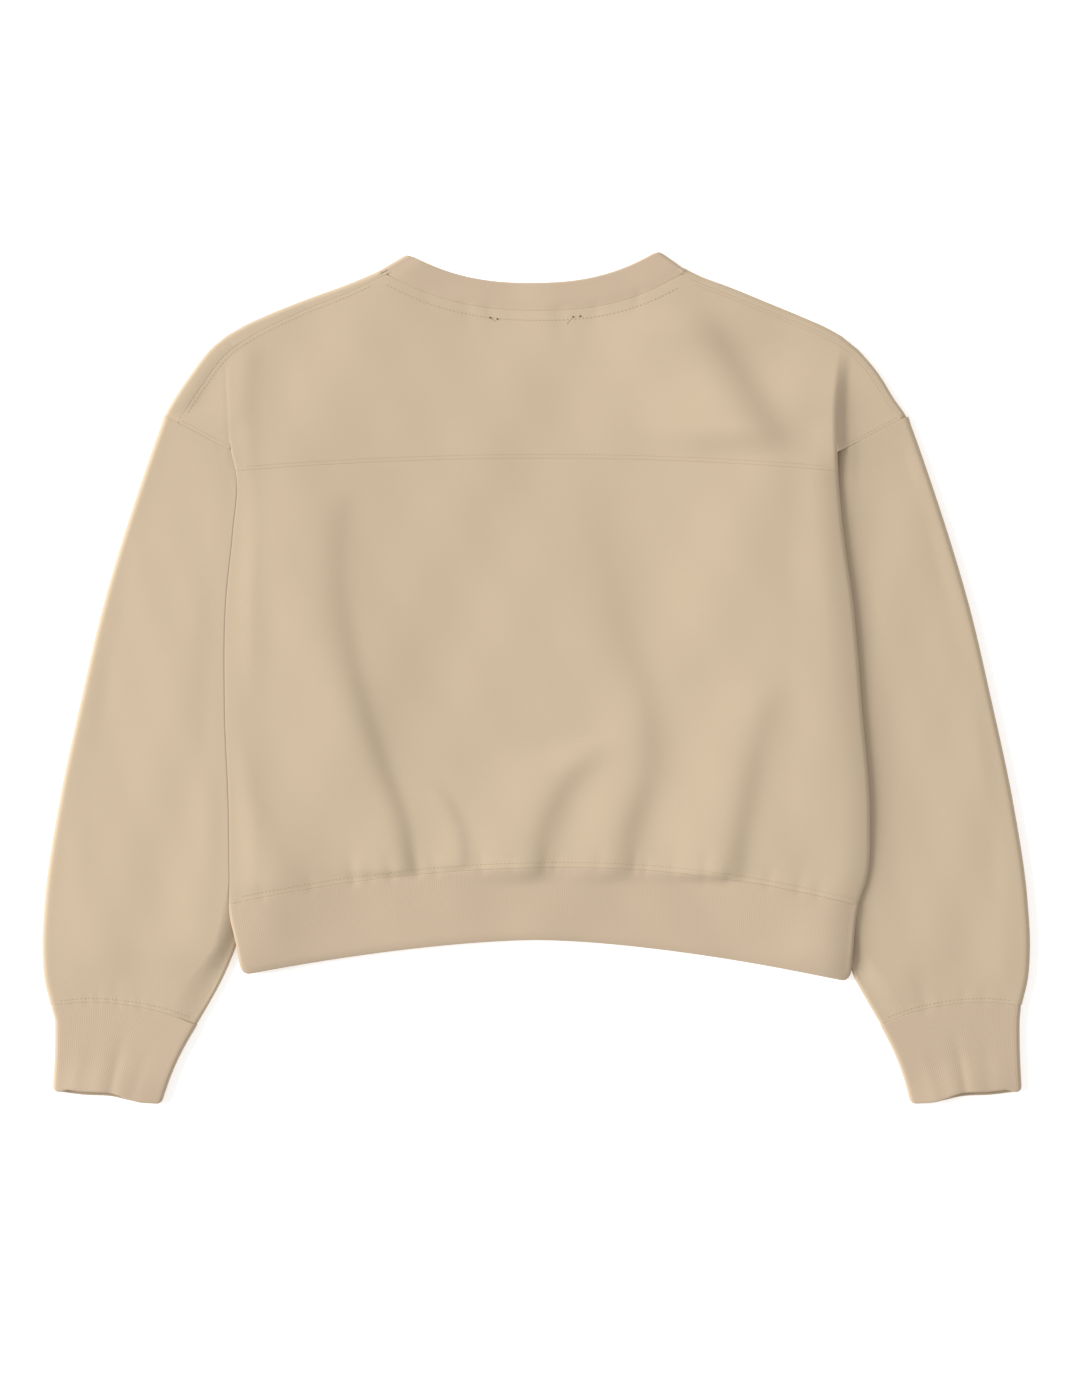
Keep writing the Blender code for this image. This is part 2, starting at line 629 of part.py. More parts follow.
def collar_tip(seam_x, edge_x, side, angle):
    """The seam's point, the free edge's point and the height where the collar turns over at a tip."""
    turn = math.radians(angle)
    across, up = COLLAR_FOLD * math.sin(turn) * np.array(TIP_LEAN)
    seam = (seam_x + side * across, float(bowed(NECK_SEAM, seam_x)) + up + SEAM_GAP / 2)
    edge = (edge_x + side * across, float(bowed(NECK_EDGE, edge_x)) + up)
    return seam, edge, COLLAR_LEVEL + COLLAR_FOLD * (1 + math.cos(turn))


def make_collar():
    """The collar: a doubled rib ring, its back half on top and its front half below."""
    stations = []
    steps = 0.5 - 0.5 * np.cos(np.linspace(0, math.pi, 30))
    top_at_tip = COLLAR_LEVEL + 2 * COLLAR_FOLD
    for t in steps:  # back half, from left to right
        seam_x = NECK_LEFT + (NECK_RIGHT - NECK_LEFT) * t
        edge_x = TIP_LEFT + (TIP_RIGHT - TIP_LEFT) * t
        seam = (seam_x, float(bowed(NECK_SEAM, seam_x)) + SEAM_GAP / 2)
        edge = (edge_x, float(bowed(NECK_EDGE, edge_x)))
        level = float(ease(abs(2 * t - 1), 1.0, 0.0))
        low = min(float(back_height(*seam)), top_at_tip)
        z = top_at_tip + (low - top_at_tip) * level
        stations.append((seam, edge, z))
    for angle in (45, 90, 135):
        stations.append(collar_tip(NECK_RIGHT, TIP_RIGHT, 1, angle))
    for seam_x in reversed(FRONT_NECK_PLACES):  # front half, from right to left
        t = (seam_x - NECK_LEFT) / (NECK_RIGHT - NECK_LEFT)
        edge_x = TIP_LEFT + (TIP_RIGHT - TIP_LEFT) * t
        seam_y = bowed(FRONT_NECK_SEAM, seam_x) + 2 * seam_share(FRONT_NECK_SEAM, seam_x)
        seam = (seam_x, float(seam_y))
        edge = (edge_x, float(bowed(FRONT_NECK_EDGE, edge_x)))
        stations.append((seam, edge, COLLAR_LEVEL))
    for angle in (135, 90, 45):
        stations.append(collar_tip(NECK_LEFT, TIP_LEFT, -1, angle))
    rows = []
    for v in np.linspace(0, 1, 4):
        row = []
        for seam, edge, z in stations:
            row.append((seam[0] + (edge[0] - seam[0]) * v, seam[1] + (edge[1] - seam[1]) * v, z))
        rows.append(row)
    cloth_piece("collar", rows, RIB, RIB_COLOUR, wraps=True)


for item in list(bpy.data.objects):
    bpy.data.objects.remove(item)

make_front()
make_back()
make_yoke()
make_sleeve("sleeve_left", -1)
make_sleeve("sleeve_right", 1)
make_hem_rib()
make_cuff("cuff_left", -1)
make_cuff("cuff_right", 1)
make_collar()
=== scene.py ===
import math
from collections import namedtuple

import bpy
import numpy as np
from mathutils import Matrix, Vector
from mathutils.bvhtree import BVHTree
from mathutils.kdtree import KDTree


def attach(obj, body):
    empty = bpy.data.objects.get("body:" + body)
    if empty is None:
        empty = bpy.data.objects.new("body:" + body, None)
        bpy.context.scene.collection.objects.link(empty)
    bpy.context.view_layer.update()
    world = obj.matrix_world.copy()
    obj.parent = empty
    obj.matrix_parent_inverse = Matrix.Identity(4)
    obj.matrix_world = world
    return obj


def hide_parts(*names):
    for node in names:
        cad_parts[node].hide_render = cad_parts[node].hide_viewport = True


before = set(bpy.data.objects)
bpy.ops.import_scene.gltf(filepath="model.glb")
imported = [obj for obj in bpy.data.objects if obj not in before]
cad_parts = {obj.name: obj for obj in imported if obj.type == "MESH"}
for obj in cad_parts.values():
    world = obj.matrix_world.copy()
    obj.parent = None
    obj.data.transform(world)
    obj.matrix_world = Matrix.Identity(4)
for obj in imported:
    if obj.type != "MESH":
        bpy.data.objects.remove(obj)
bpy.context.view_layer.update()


# ----------------------------------------------------------
# Lower back panel. One piece of brushed fleece from the hem to the yoke, laid uppermost because
# the garment lies on its front. It is eased into the hem rib, which leaves soft creases, and it
# rides over the sleeves that are tucked beneath its two side folds.
MM = 0.001  # lengths are in millimetres here, and in metres in the finished meshes
FLEECE = 2.2  # thickness of the brushed fleece
SEAM_GAP = 0.03  # the pieces meet, and only a shallow groove shows where
BODY_AIR = 2.8  # air between the back and the front
TUCK_RISE = 6.4  # how far a tucked sleeve holds the body up
LEFT_RISE = 3.8  # the same for the back on the left, which is pressed flatter
SQUARE_FOLD, ROUND_FOLD = 4.5, 2.0  # how squarely the left and the right side fold turn down
NECK_SINK = 1.4  # how far the back sinks into the neck's opening
RIGHT_BILLOW = 1.6  # how much fuller the back stands along its right side
LEFT_ROLL, RIGHT_ROLL = 0.3, 2.8  # how far the back rolls down towards its two side folds
LEFT_LINE = 0.18  # depth of the fine line in which the left side fold runs on over the yoke
BODY_FOLD = (FLEECE + BODY_AIR) / 2  # radius of the body's folds
FRONT_LEVEL = FLEECE / 2  # height of the middle of the cloth, for the front and for the back
BACK_LEVEL = FRONT_LEVEL + FLEECE + BODY_AIR

# The body's side edges and the inner edges of the tucked sleeves, from the hem to the shoulder.
Side = namedtuple("Side", "height left right tuck_left tuck_right")
SIDES = (
    Side(-230, 223, 238, 240, 245),
    Side(-205, 227, 240, 230, 236),
    Side(-174, 233, 243.5, 221, 227),
    Side(-148, 233.5, 251, 216, 222),
    Side(-102, 234, 253, 209, 213),
    Side(-21, 237, 247, 198, 201),
    Side(60, 236, 240, 194, 195),
    Side(110, 231, 233, 197, 197),
    Side(155, 228, 229, 203, 203),
    Side(178, 232, 228, 207, 207),
    Side(211, 234, 228, 212, 208),
    Side(250, 235.5, 232, 215, 212),
)

# A seam or an edge across the garment: its level in the middle, and how far it has moved at a reach.
Bow = namedtuple("Bow", "middle level reach_left change_left reach_right change_right power")
HEM_SEAM = Bow(22, -143.4, 255, -28, 220, -28, 2.0)
YOKE_SEAM = Bow(8, 168, 236, -10, 220, -10, 2.0)

# Large creases, each along a path from its foot to its top. The cloth steps down across it to the
# right: how steeply, over what width, and how much of that width lies to the left of the path. It
# comes level again over the spread, and the crease grows from its two ends over their fades.
Fold = namedtuple("Fold", "path steep_foot steep_top wide_foot wide_top lean spread fade_foot fade_top")
FOLDS = (
    Fold(((-94, -152), (-101, -108), (-116, -66), (-141, 20), (-151, 95), (-139, 165)),
         0.31, 0.07, 11, 28, 0.62, 46, 8, 45),
    Fold(((-176, -166), (-204, -108), (-219, -70), (-226, -30)), 0.095, 0.06, 24, 26, 0.6, 44, 14, 40),
    Fold(((-54, -146), (-56, -117), (-66, -94), (-82, -70)), 0.20, 0.10, 9, 12, 0.5, 20, 6, 28),
    Fold(((1, -158), (8, -112), (19, -88), (36, -64), (58, -40)), 0.28, 0.13, 23, 28, 0.4, 46, 16, 32),
    Fold(((65, -158), (73, -112), (84, -80), (86, -35), (58, 66), (30, 150)),
         0.22, 0.02, 21, 34, 0.45, 44, 16, 45),
    Fold(((150, -156), (156, -117), (162, -84), (176, -24), (184, 8)),
         0.32, 0.07, 18, 26, 0.5, 62, 10, 38),
    Fold(((-208, -30), (-213, 100), (-218, 190), (-213, 262)), 0.05, 0.09, 15, 15, 0.5, 26, 50, 20),
    Fold(((192, 168), (171, 203), (160, 222), (146, 246), (130, 274), (124, 290)),
         0.27, 0.17, 32, 30, 0.5, 76, 24, 30),
    Fold(((-268, 202), (-257, 221), (-247, 237), (-234, 250), (-212, 262)),
         0.15, 0.08, 13, 12, 0.5, 20, 8, 14),
)
RIDGE_SHARE = 0.75  # a crease stands up by this much of its right half, so that it sinks less
DEEPEST = 2.2  # no hollow sinks further than this

# Small gathers where the cloth is eased into the hem: place, length, lean to the right, width, depth.
Gather = namedtuple("Gather", "across length lean width depth")
HEM_GATHERS = (
    Gather(-226, 21, -2, 3.0, 0.23),
    Gather(-208, 29, -5, 3.6, 0.31),
    Gather(-171, 23, -4, 3.2, 0.27),
    Gather(-139, 34, -5, 3.4, 0.58),
    Gather(-126, 18, -2, 2.8, 0.31),
    Gather(-110, 26, -5, 3.0, 0.47),
    Gather(-90, 39, -9, 3.2, 0.43),
    Gather(-76, 21, -4, 2.8, 0.35),
    Gather(-41, 26, -4, 3.4, 0.39),
    Gather(-18, 18, 1, 2.8, 0.27),
    Gather(6, 23, 4, 3.0, 0.47),
    Gather(14, 16, 3, 2.4, 0.31),
    Gather(47, 23, 3, 3.2, 0.31),
    Gather(74, 26, 3, 3.0, 0.47),
    Gather(83, 17, 1, 2.4, 0.35),
    Gather(104, 29, 5, 3.6, 0.27),
    Gather(128, 31, 3, 3.2, 0.43),
    Gather(146, 21, 3, 2.8, 0.39),
    Gather(176, 29, 6, 3.6, 0.35),
    Gather(199, 34, 6, 3.6, 0.39),
    Gather(214, 21, 4, 3.0, 0.31),
)

# Slow waves that keep the laid cloth from being level: length across, length up, turn, height.
Wave = namedtuple("Wave", "across up turn height")
SLOW_WAVES = (
    Wave(190, 310, 0.6, 0.42),
    Wave(118, -240, 2.3, 0.30),
    Wave(-74, 150, 4.0, 0.16),
    Wave(52, 96, 1.1, 0.09),
)

# Where the columns run beside a side edge and the rows beside a seam, and how far apart they are
# between those.
EDGE_STEPS = (0, 0.05, 0.2, 0.5, 0.9, 1.4, 1.9, 2.5, 3.4, 4.8, 7.0)
SEAM_STEPS = (0, 0.12, 0.3, 0.55, 0.9, 1.4, 2.2, 3.4)
BODY_SPACING = 2.4
SEAM_ROUND = 0.9  # how far in from a seam the cloth rounds over
SEAM_DEPTH = 0.15  # how deep the groove of a seam is, as a share of half the cloth's thickness
FOLD_ROUND = 0.92  # the same where the cloth folds right over
BODY_WIDE = 480  # about how wide the body is, which sets how many columns it has
HEM_SHARE = 0.35  # how much of the rise over a tucked sleeve is left at the hem's edge
FRONT_RAMP = (36, 5)  # the front rises over the tucked sleeve from one to the other of these
BACK_RAMP = (96, 4)  # the same for the back, which starts farther in
RAMP_GAIN = 44  # how much farther in still it starts above the hem

# Heights, from the hem upwards, between which something begins or ends.
HEM_SETTLES = (-235, -205)
WAVES_BEGIN = (-235, -190)
RAMP_GROWS = (-190, -120)
BILLOW_BEGINS, BILLOW_ENDS = (-160, -90), (120, 235)
ROLL_ENDS = (150, 176)
UNDERARM = (160, 182)  # the side folds open out into the shoulder caps
LEFT_FLAT, RIGHT_FLAT = (176, 262), (204, 258)  # the yoke comes down to its own level
FRONT_CAP, FRONT_FLAT = (178, 186), (184, 214)  # the same for the front's caps and for the front
CREASES_PASS = (185, 205)  # above these the creases run on into the caps
LINE_ENDS = (226, 246)
SINK_BEGINS = (225, 275)

# Distances outwards from the body's side edge, less than 0 inside it, between which something ends.
CREASES_STOP = (-22, -4)
GATHERS_STOP = (-10, -3)
WAVES_STOP = (-48, -3)
FRONT_RISE_STOPS = (-24, -4)
CAP_FLAT = (-3, 9)

# Where the fuller right side, the neck's sink, the two rolls and the fine line lie across the body.
BILLOW_ACROSS = (188, 226)
SINK_ACROSS = (115, 15)
LEFT_ROLL_REACH, RIGHT_ROLL_REACH = 12.0, 22.0
LINE_PLACE, LINE_WIDTH = 1.2, 1.5
FLEECE_COLOUR = (0.544, 0.427, 0.297, 1)
FLEECE_PALE = (0.572, 0.451, 0.316, 1)
WALE = 0.00095  # width of one column of the jersey's stitches, in metres
COURSE = 0.00075  # height of one row of them


def ease(value, start, end):
    """Rises smoothly from 0 at start to 1 at end."""
    t = np.clip((np.asarray(value, float) - start) / (end - start), 0, 1)
    return t * t * (3 - 2 * t)


def smooth(places, values, at):
    """The value at a place, on a smooth curve through the given ones."""
    slopes = np.gradient(values, places)
    at = np.clip(np.asarray(at, float), places[0], places[-1])
    row = np.clip(np.searchsorted(places, at) - 1, 0, len(places) - 2)
    span = places[row + 1] - places[row]
    t = (at - places[row]) / span
    return (
        (2 * t**3 - 3 * t**2 + 1) * values[row]
        + (t**3 - 2 * t**2 + t) * span * slopes[row]
        + (3 * t**2 - 2 * t**3) * values[row + 1]
        + (t**3 - t**2) * span * slopes[row + 1]
    )


def along(table, column, at):
    """A column of a table, read on a smooth curve through its rows."""
    places = np.array([row[0] for row in table], float)
    return smooth(places, np.array([getattr(row, column) for row in table], float), at)


def bowed(bow, across):
    """The Y of a seam or edge at a place across the garment."""
    offset = np.asarray(across, float) - bow.middle
    left = bow.change_left * (np.clip(-offset, 0, None) / bow.reach_left) ** bow.power
    right = bow.change_right * (np.clip(offset, 0, None) / bow.reach_right) ** bow.power
    return bow.level + left + right


def side_value(x, y, name):
    """The left or the right column of SIDES, by the side that x is on."""
    on_left = np.asarray(x, float) < 0
    return np.where(on_left, along(SIDES, name + "left", y), along(SIDES, name + "right", y))


def past_edge(x, y):
    """How far a point lies outside the body's side edge, less than 0 inside it."""
    return np.abs(x) - side_value(x, y, "")


def fold_height(x, y):
    """How far the large creases of the back lift or lower its cloth."""
    height = np.zeros(np.broadcast(x, y).shape)
    for fold in FOLDS:
        path_x, path_y = np.array(fold.path, float).T
        foot, top = path_y[0], path_y[-1]
        share = np.clip((y - foot) / (top - foot), 0, 1)
        steep = fold.steep_foot + (fold.steep_top - fold.steep_foot) * share
        wide = fold.wide_foot + (fold.wide_top - fold.wide_foot) * share
        beside = x - smooth(path_y, path_x, y)
        reach = wide * np.where(beside < 0, fold.lean, 1 - fold.lean)
        step = RIDGE_SHARE * wide * (1 - fold.lean) - reach * np.tanh(beside / reach)
        strength = ease(y, foot, foot + fold.fade_foot) * ease(y, top, top - fold.fade_top)
        height = height + strength * steep * step * np.exp(-((beside / fold.spread) ** 2))
    height = height * (1 - ease(past_edge(x, y), *CREASES_STOP) * (1 - ease(y, *CREASES_PASS)))
    return np.where(height < 0, -DEEPEST * np.tanh(-height / DEEPEST), height)


def gathered(gathers, across, above):
    """How far small gathers lower the cloth, at a distance above the seam that they start from."""
    height = np.zeros(np.broadcast(across, above).shape)
    for gather in gathers:
        share = np.clip(above / gather.length, 0, 1)
        s = (across - gather.across - gather.lean * share) / (gather.width * (1 + share))
        height = height - gather.depth * (1 - ease(share, 0.1, 1)) * np.exp(-s * s)
    return height


def slow_waves(x, y):
    """The slight unevenness of cloth that was laid out by hand."""
    height = np.zeros(np.broadcast(x, y).shape)
    for wave in SLOW_WAVES:
        height = height + wave.height * np.sin(2 * np.pi * (x / wave.across + y / wave.up) + wave.turn)
    return height


def front_rise(x, y):
    """How far the front is held up by the tucked sleeves."""
    tuck = side_value(x, y, "tuck_")
    rise = TUCK_RISE * ease(np.abs(x), tuck - FRONT_RAMP[0], tuck - FRONT_RAMP[1])
    rise = rise * (1 - ease(y, *FRONT_FLAT)) * (HEM_SHARE + (1 - HEM_SHARE) * ease(y, *HEM_SETTLES))
    return rise * (1 - ease(past_edge(x, y), *FRONT_RISE_STOPS) * ease(y, *FRONT_CAP))


def back_height(x, y):
    """The middle surface of the back, the yoke and the hem rib's upper wall, without fine creases."""
    tuck = side_value(x, y, "tuck_")
    outside = past_edge(x, y)
    on_yoke = ease(y, *UNDERARM)
    on_left = np.asarray(x, float) < 0
    ramp = BACK_RAMP[0] + RAMP_GAIN * ease(y, *RAMP_GROWS)
    rise = np.where(on_left, LEFT_RISE, TUCK_RISE) * ease(np.abs(x), tuck - ramp, tuck - BACK_RAMP[1])
    rise = rise * (HEM_SHARE + (1 - HEM_SHARE) * ease(y, *HEM_SETTLES))
    billow = RIGHT_BILLOW * ease(x, *BILLOW_ACROSS)
    rise = rise + billow * ease(y, *BILLOW_BEGINS) * (1 - ease(y, *BILLOW_ENDS))
    kept_left = 1 - ease(y, *LEFT_FLAT)
    kept_right = (1 - ease(y, *RIGHT_FLAT)) * (1 - ease(outside, *CAP_FLAT) * on_yoke)
    rise = rise * np.where(on_left, kept_left, kept_right)
    roll = np.where(on_left, LEFT_ROLL, RIGHT_ROLL)
    roll_reach = np.where(on_left, LEFT_ROLL_REACH, RIGHT_ROLL_REACH)
    rise = rise - roll * np.clip(1 + outside / roll_reach, 0, 1) ** 2 * (1 - ease(y, *ROLL_ENDS))
    line = LEFT_LINE * np.exp(-(((outside - LINE_PLACE) / LINE_WIDTH) ** 2))
    rise = rise - np.where(on_left, line * on_yoke * (1 - ease(y, *LINE_ENDS)), 0)
    sink = NECK_SINK * ease(y, *SINK_BEGINS) * ease(np.abs(x), *SINK_ACROSS)
    settled = ease(y, *WAVES_BEGIN) * (1 - ease(outside, *WAVES_STOP))
    return BACK_LEVEL + rise + fold_height(x, y) + slow_waves(x, y) * settled - sink


def side_seam_height(x, y):
    """The height of the seam down the body's side fold."""
    return (FRONT_LEVEL + front_rise(x, y) + back_height(x, y)) / 2


def close_to_ends(length, steps, spacing):
    """Places along a length, close together at both ends and even between them."""
    steps = np.array(steps, float)
    count = max(int(round((length - 2 * steps[-1]) / spacing)), 2)
    inner = np.linspace(steps[-1], length - steps[-1], count + 1)[1:-1]
    return np.concatenate([steps, inner, length - steps[::-1]])


def turned_down(x, y, inside, share=1.0):
    """The back's height, with its side edges turned down to the side seam by a share."""
    flat = back_height(x, y)
    seam = side_seam_height(x, y) + SEAM_GAP / 2
    depth = np.clip(1 - inside / BODY_FOLD, 0, 1)
    power = np.where(np.asarray(x, float) < 0, SQUARE_FOLD, ROUND_FOLD)
    drop = 1 - (1 - depth**power) ** (1 / power)
    return flat - (flat - seam) * drop * share


def cloth_wall(name, rows, thickness, finish, wraps=False, left_out=None, folded_end=False):
    """A closed wall of cloth round a grid of points in millimetres, rounded over at its seams.

    wraps joins the last column to the first, left_out marks the cells with no cloth, and
    folded_end says that the last row is not a seam but a fold, rounded right over.
    """
    points = np.asarray(rows, float)
    high, wide = points.shape[:2]
    used = np.ones((high - 1, wide if wraps else wide - 1), bool)
    if left_out is not None:
        used = ~np.asarray(left_out, bool)
    r, c = np.nonzero(used)
    corner_r = np.stack([r, r, r + 1, r + 1], axis=1)
    corner_c = np.stack([c, c + 1, c + 1, c], axis=1)
    corner = corner_r * wide + corner_c % wide
    flat = points.reshape(-1, 3)

    one_way, other_way = flat[corner[:, 2]] - flat[corner[:, 0]], flat[corner[:, 3]] - flat[corner[:, 1]]
    face_normal = np.cross(one_way, other_way)
    face_normal /= np.maximum(np.linalg.norm(face_normal, axis=1, keepdims=True), 1e-12)
    normal = np.zeros_like(flat)
    for k in range(4):
        np.add.at(normal, corner[:, k], face_normal)
    normal /= np.maximum(np.linalg.norm(normal, axis=1, keepdims=True), 1e-12)

    start, end = corner, np.roll(corner, -1, axis=1)
    rim = ~np.isin(start * len(flat) + end, end * len(flat) + start)
    tree = KDTree(int(rim.sum()))
    for vertex in start[rim]:
        tree.insert(flat[vertex], int(vertex) // wide)
    tree.balance()
    kept, corner = np.unique(corner, return_inverse=True)
    corner = corner.reshape(-1, 4)
    nearest = np.array([tree.find(point)[1:] for point in flat[kept]])
    fold = np.logical_and(folded_end, nearest[:, 0] == high - 1)
    reach, depth = np.where(fold, thickness / 2, SEAM_ROUND), np.where(fold, FOLD_ROUND, SEAM_DEPTH)
    t = np.clip(nearest[:, 1] / reach, 0, 1)
    half = thickness / 2 * (1 - depth * (1 - np.sqrt(1 - (1 - t) ** 2)))
    upper = flat[kept] + normal[kept] * half[:, None]
    lower = flat[kept] - normal[kept] * half[:, None]

    step_across = np.linalg.norm(np.diff(points, axis=1, append=points[:, :1]), axis=2)
    middle = high // 2
    u = np.concatenate([[0], np.cumsum(step_across[middle])])
    v = np.zeros((high, wide))
    v[1:] = np.cumsum(np.linalg.norm(np.diff(points, axis=0), axis=2), axis=0)
    place = np.stack([u[corner_c], v[corner_r, corner_c % wide]], axis=2) * MM

    following = [1, 2, 3, 0]
    total = len(kept)
    ends = np.stack([corner[:, following], corner, corner + total, corner[:, following] + total], axis=2)
    end_places = np.stack([place[:, following], place, place, place[:, following]], axis=2)
    faces = np.concatenate([corner, corner[:, ::-1] + total, ends[rim]])
    places = np.concatenate([place, place[:, ::-1], end_places[rim]])

    mesh = bpy.data.meshes.new(name)
    mesh.from_pydata((np.concatenate([upper, lower]) * MM).tolist(), [], faces.tolist())
    mesh.uv_layers.new(name="cloth").data.foreach_set("uv", places.ravel())
    mesh.shade_smooth()
    mesh.materials.append(finish)
    piece = bpy.data.objects.new(name, mesh)
    bpy.context.scene.collection.objects.link(piece)
    return piece


class Shader:
    """A material's nodes, written as sums."""

    def __init__(self, name):
        self.material = bpy.data.materials.new(name)
        self.material.use_nodes = True
        self.nodes = self.material.node_tree.nodes
        self.links = self.material.node_tree.links
        self.surface = self.nodes["Principled BSDF"]

    def set(self, socket, value):
        """Gives a socket a value, or joins it to the socket that gives one."""
        if isinstance(value, bpy.types.NodeSocket):
            self.links.new(value, socket)
        else:
            socket.default_value = value

    def sum(self, operation, *values):
        node = self.nodes.new("ShaderNodeMath")
        node.operation = operation
        for socket, value in zip(node.inputs, values):
            self.set(socket, value)
        return node.outputs[0]

    def cloth_places(self):
        """How far across and along the cloth a point is, in metres."""
        places = self.nodes.new("ShaderNodeUVMap")
        places.uv_map = "cloth"
        split = self.nodes.new("ShaderNodeSeparateXYZ")
        self.links.new(places.outputs[0], split.inputs[0])
        return places.outputs[0], split.outputs[0], split.outputs[1]

    def noise(self, places, scale, detail=2.0, roughness=0.5):
        node = self.nodes.new("ShaderNodeTexNoise")
        node.inputs["Scale"].default_value = scale
        node.inputs["Detail"].default_value = detail
        node.inputs["Roughness"].default_value = roughness
        self.links.new(places, node.inputs["Vector"])
        return node.outputs["Fac"]

    def between(self, share, first, second):
        """A colour that goes from first to second as share goes from 0 to 1."""
        node = self.nodes.new("ShaderNodeMix")
        node.data_type = "RGBA"
        for socket, value in zip((node.inputs[0], *node.inputs[6:8]), (share, first, second)):
            self.set(socket, value)
        return node.outputs[2]

    def raised(self, height, distance, strength):
        node = self.nodes.new("ShaderNodeBump")
        node.inputs["Strength"].default_value = strength
        node.inputs["Distance"].default_value = distance
        self.links.new(height, node.inputs["Height"])
        self.links.new(node.outputs[0], self.surface.inputs["Normal"])


def knit_finish(name, colours, mottle_scale, stitches, roughness, sheen):
    """Cotton yarn, softly napped and a little mottled by its garment dye, over a knit of stitches."""
    made = Shader(name)
    places, across, up = made.cloth_places()
    knit, nap_height = stitches(made, places, across, up)
    nap = made.noise(places, 2600, 3.0, 0.6)
    made.raised(made.sum("ADD", knit, made.sum("MULTIPLY", nap, nap_height)), 0.00012, 0.55)
    mottle = made.noise(places, mottle_scale, 3.0, 0.55)
    heather = made.noise(places, 1500, 2.0, 0.6)
    share = made.sum("ADD", made.sum("MULTIPLY", mottle, 0.55), made.sum("MULTIPLY", heather, 0.45))
    made.set(made.surface.inputs["Base Color"], made.between(share, *colours))
    dull = made.sum("ADD", made.sum("MULTIPLY", nap, 0.12), roughness)
    made.set(made.surface.inputs["Roughness"], dull)
    made.surface.inputs["Specular IOR Level"].default_value = 0.22
    made.surface.inputs["Sheen Weight"].default_value = sheen
    made.surface.inputs["Sheen Roughness"].default_value = 0.55
    made.surface.inputs["Sheen Tint"].default_value = (1.0, 0.93, 0.84, 1)
    return made.material


def jersey(made, places, across, up):
    """The fleece's outer face: columns of small V-shaped stitches, and how high its nap stands."""
    column = made.sum("DIVIDE", across, WALE)
    lean = made.sum("ABSOLUTE", made.sum("SUBTRACT", made.sum("FRACT", column), 0.5))
    row = made.sum("ADD", made.sum("DIVIDE", up, COURSE), made.sum("MULTIPLY", lean, 1.6))
    loop = made.sum("SINE", made.sum("MULTIPLY", row, 2 * math.pi))
    groove = made.sum("COSINE", made.sum("MULTIPLY", column, 4 * math.pi))
    return made.sum("ADD", made.sum("MULTIPLY", loop, 0.3), made.sum("MULTIPLY", groove, -0.22)), 1.6


fleece = knit_finish("brushed fleece", (FLEECE_COLOUR, FLEECE_PALE), 26, jersey, 0.84, 0.22)


def body_places(left, right):
    """The columns of a row of the body, close together at its two side edges."""
    last = EDGE_STEPS[-1]
    place = close_to_ends(BODY_WIDE, EDGE_STEPS, BODY_SPACING)
    ends = (left, left + last, right - last, right)
    return np.interp(place, (0, last, BODY_WIDE - last, BODY_WIDE), ends)


def back_panel():
    """The rows of the lower back panel, from the hem seam up to the yoke seam."""
    length = YOKE_SEAM.level - HEM_SEAM.level
    shares = close_to_ends(length, SEAM_STEPS, BODY_SPACING) / length
    rows = []
    for v in shares:
        edge_y = HEM_SEAM.level + length * v + HEM_SEAM.change_left * (1 - v) + YOKE_SEAM.change_left * v
        left, right = -along(SIDES, "left", edge_y), along(SIDES, "right", edge_y)
        x = body_places(left, right)
        bottom, top = bowed(HEM_SEAM, x) + SEAM_GAP / 2, bowed(YOKE_SEAM, x) - SEAM_GAP / 2
        y = bottom + (top - bottom) * v
        z = turned_down(x, y, np.minimum(x - left, right - x))
        z = z + gathered(HEM_GATHERS, x, y - bottom) * (1 - ease(past_edge(x, y), *GATHERS_STOP))
        rows.append(np.stack([x, y, z], axis=1))
    return rows


back = cloth_wall("back_panel", back_panel(), FLEECE, fleece)
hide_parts("back")
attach(back, "root")


# ----------------------------------------------------------
# Back yoke. A straight-cut piece of the same fleece across the shoulders, with dropped shoulder
# caps past the body's side folds. It is sewn to the lower back and topstitched above that seam.
Shoulder = namedtuple("Shoulder", "across left right inset_left inset_right")
SHOULDERS = (
    Shoulder(108, 315.4, 314.4, 4.5, 3.5),
    Shoulder(125, 307.5, 305.8, 4.5, 4.0),
    Shoulder(143, 300.0, 299.2, 5.5, 4.5),
    Shoulder(175, 288.3, 286.2, 6.5, 4.5),
    Shoulder(203, 277.1, 274.6, 8.0, 4.5),
    Shoulder(224, 267.4, 265.0, 9.5, 4.0),
    Shoulder(240, 257.3, 254.6, 10.5, 3.5),
    Shoulder(250, 248.0, 244.4, 11.0, 3.0),
    Shoulder(262, 232.0, 229.2, 11.5, 3.0),
    Shoulder(272, 217.4, 212.8, 11.5, 3.0),
    Shoulder(280, 204.2, 201.6, 11.5, 3.0),
    Shoulder(287, 191.2, 190.0, 11.5, 3.0),
)

# Where the armhole seam lies, outwards from the underarm, on the back and on the front.
Armhole = namedtuple("Armhole", "across back front")
ARMHOLES = (
    Armhole(190, 162, 161),
    Armhole(207, 165.5, 164),
    Armhole(222, 170, 171),
    Armhole(233, 174.5, 181),
    Armhole(242, 179, 190),
    Armhole(262, 189.6, 195),
    Armhole(284, 200.4, 199.2),
    Armhole(292, 203.4, 201),
)
NECK_SEAM = Bow(5, 280.6, 121, 29, 107, 28.5, 2.4)
CAP_START = 0.2  # share of the yoke's height at which the armholes start
CAP_COLUMNS = 26  # about how many columns each cap has
YOKE_LENGTH = 85  # height of the yoke beside an armhole, which sets how many rows it has
YOKE_TOP_AT_EDGE = 256  # where the line of a side edge would meet the shoulder seam

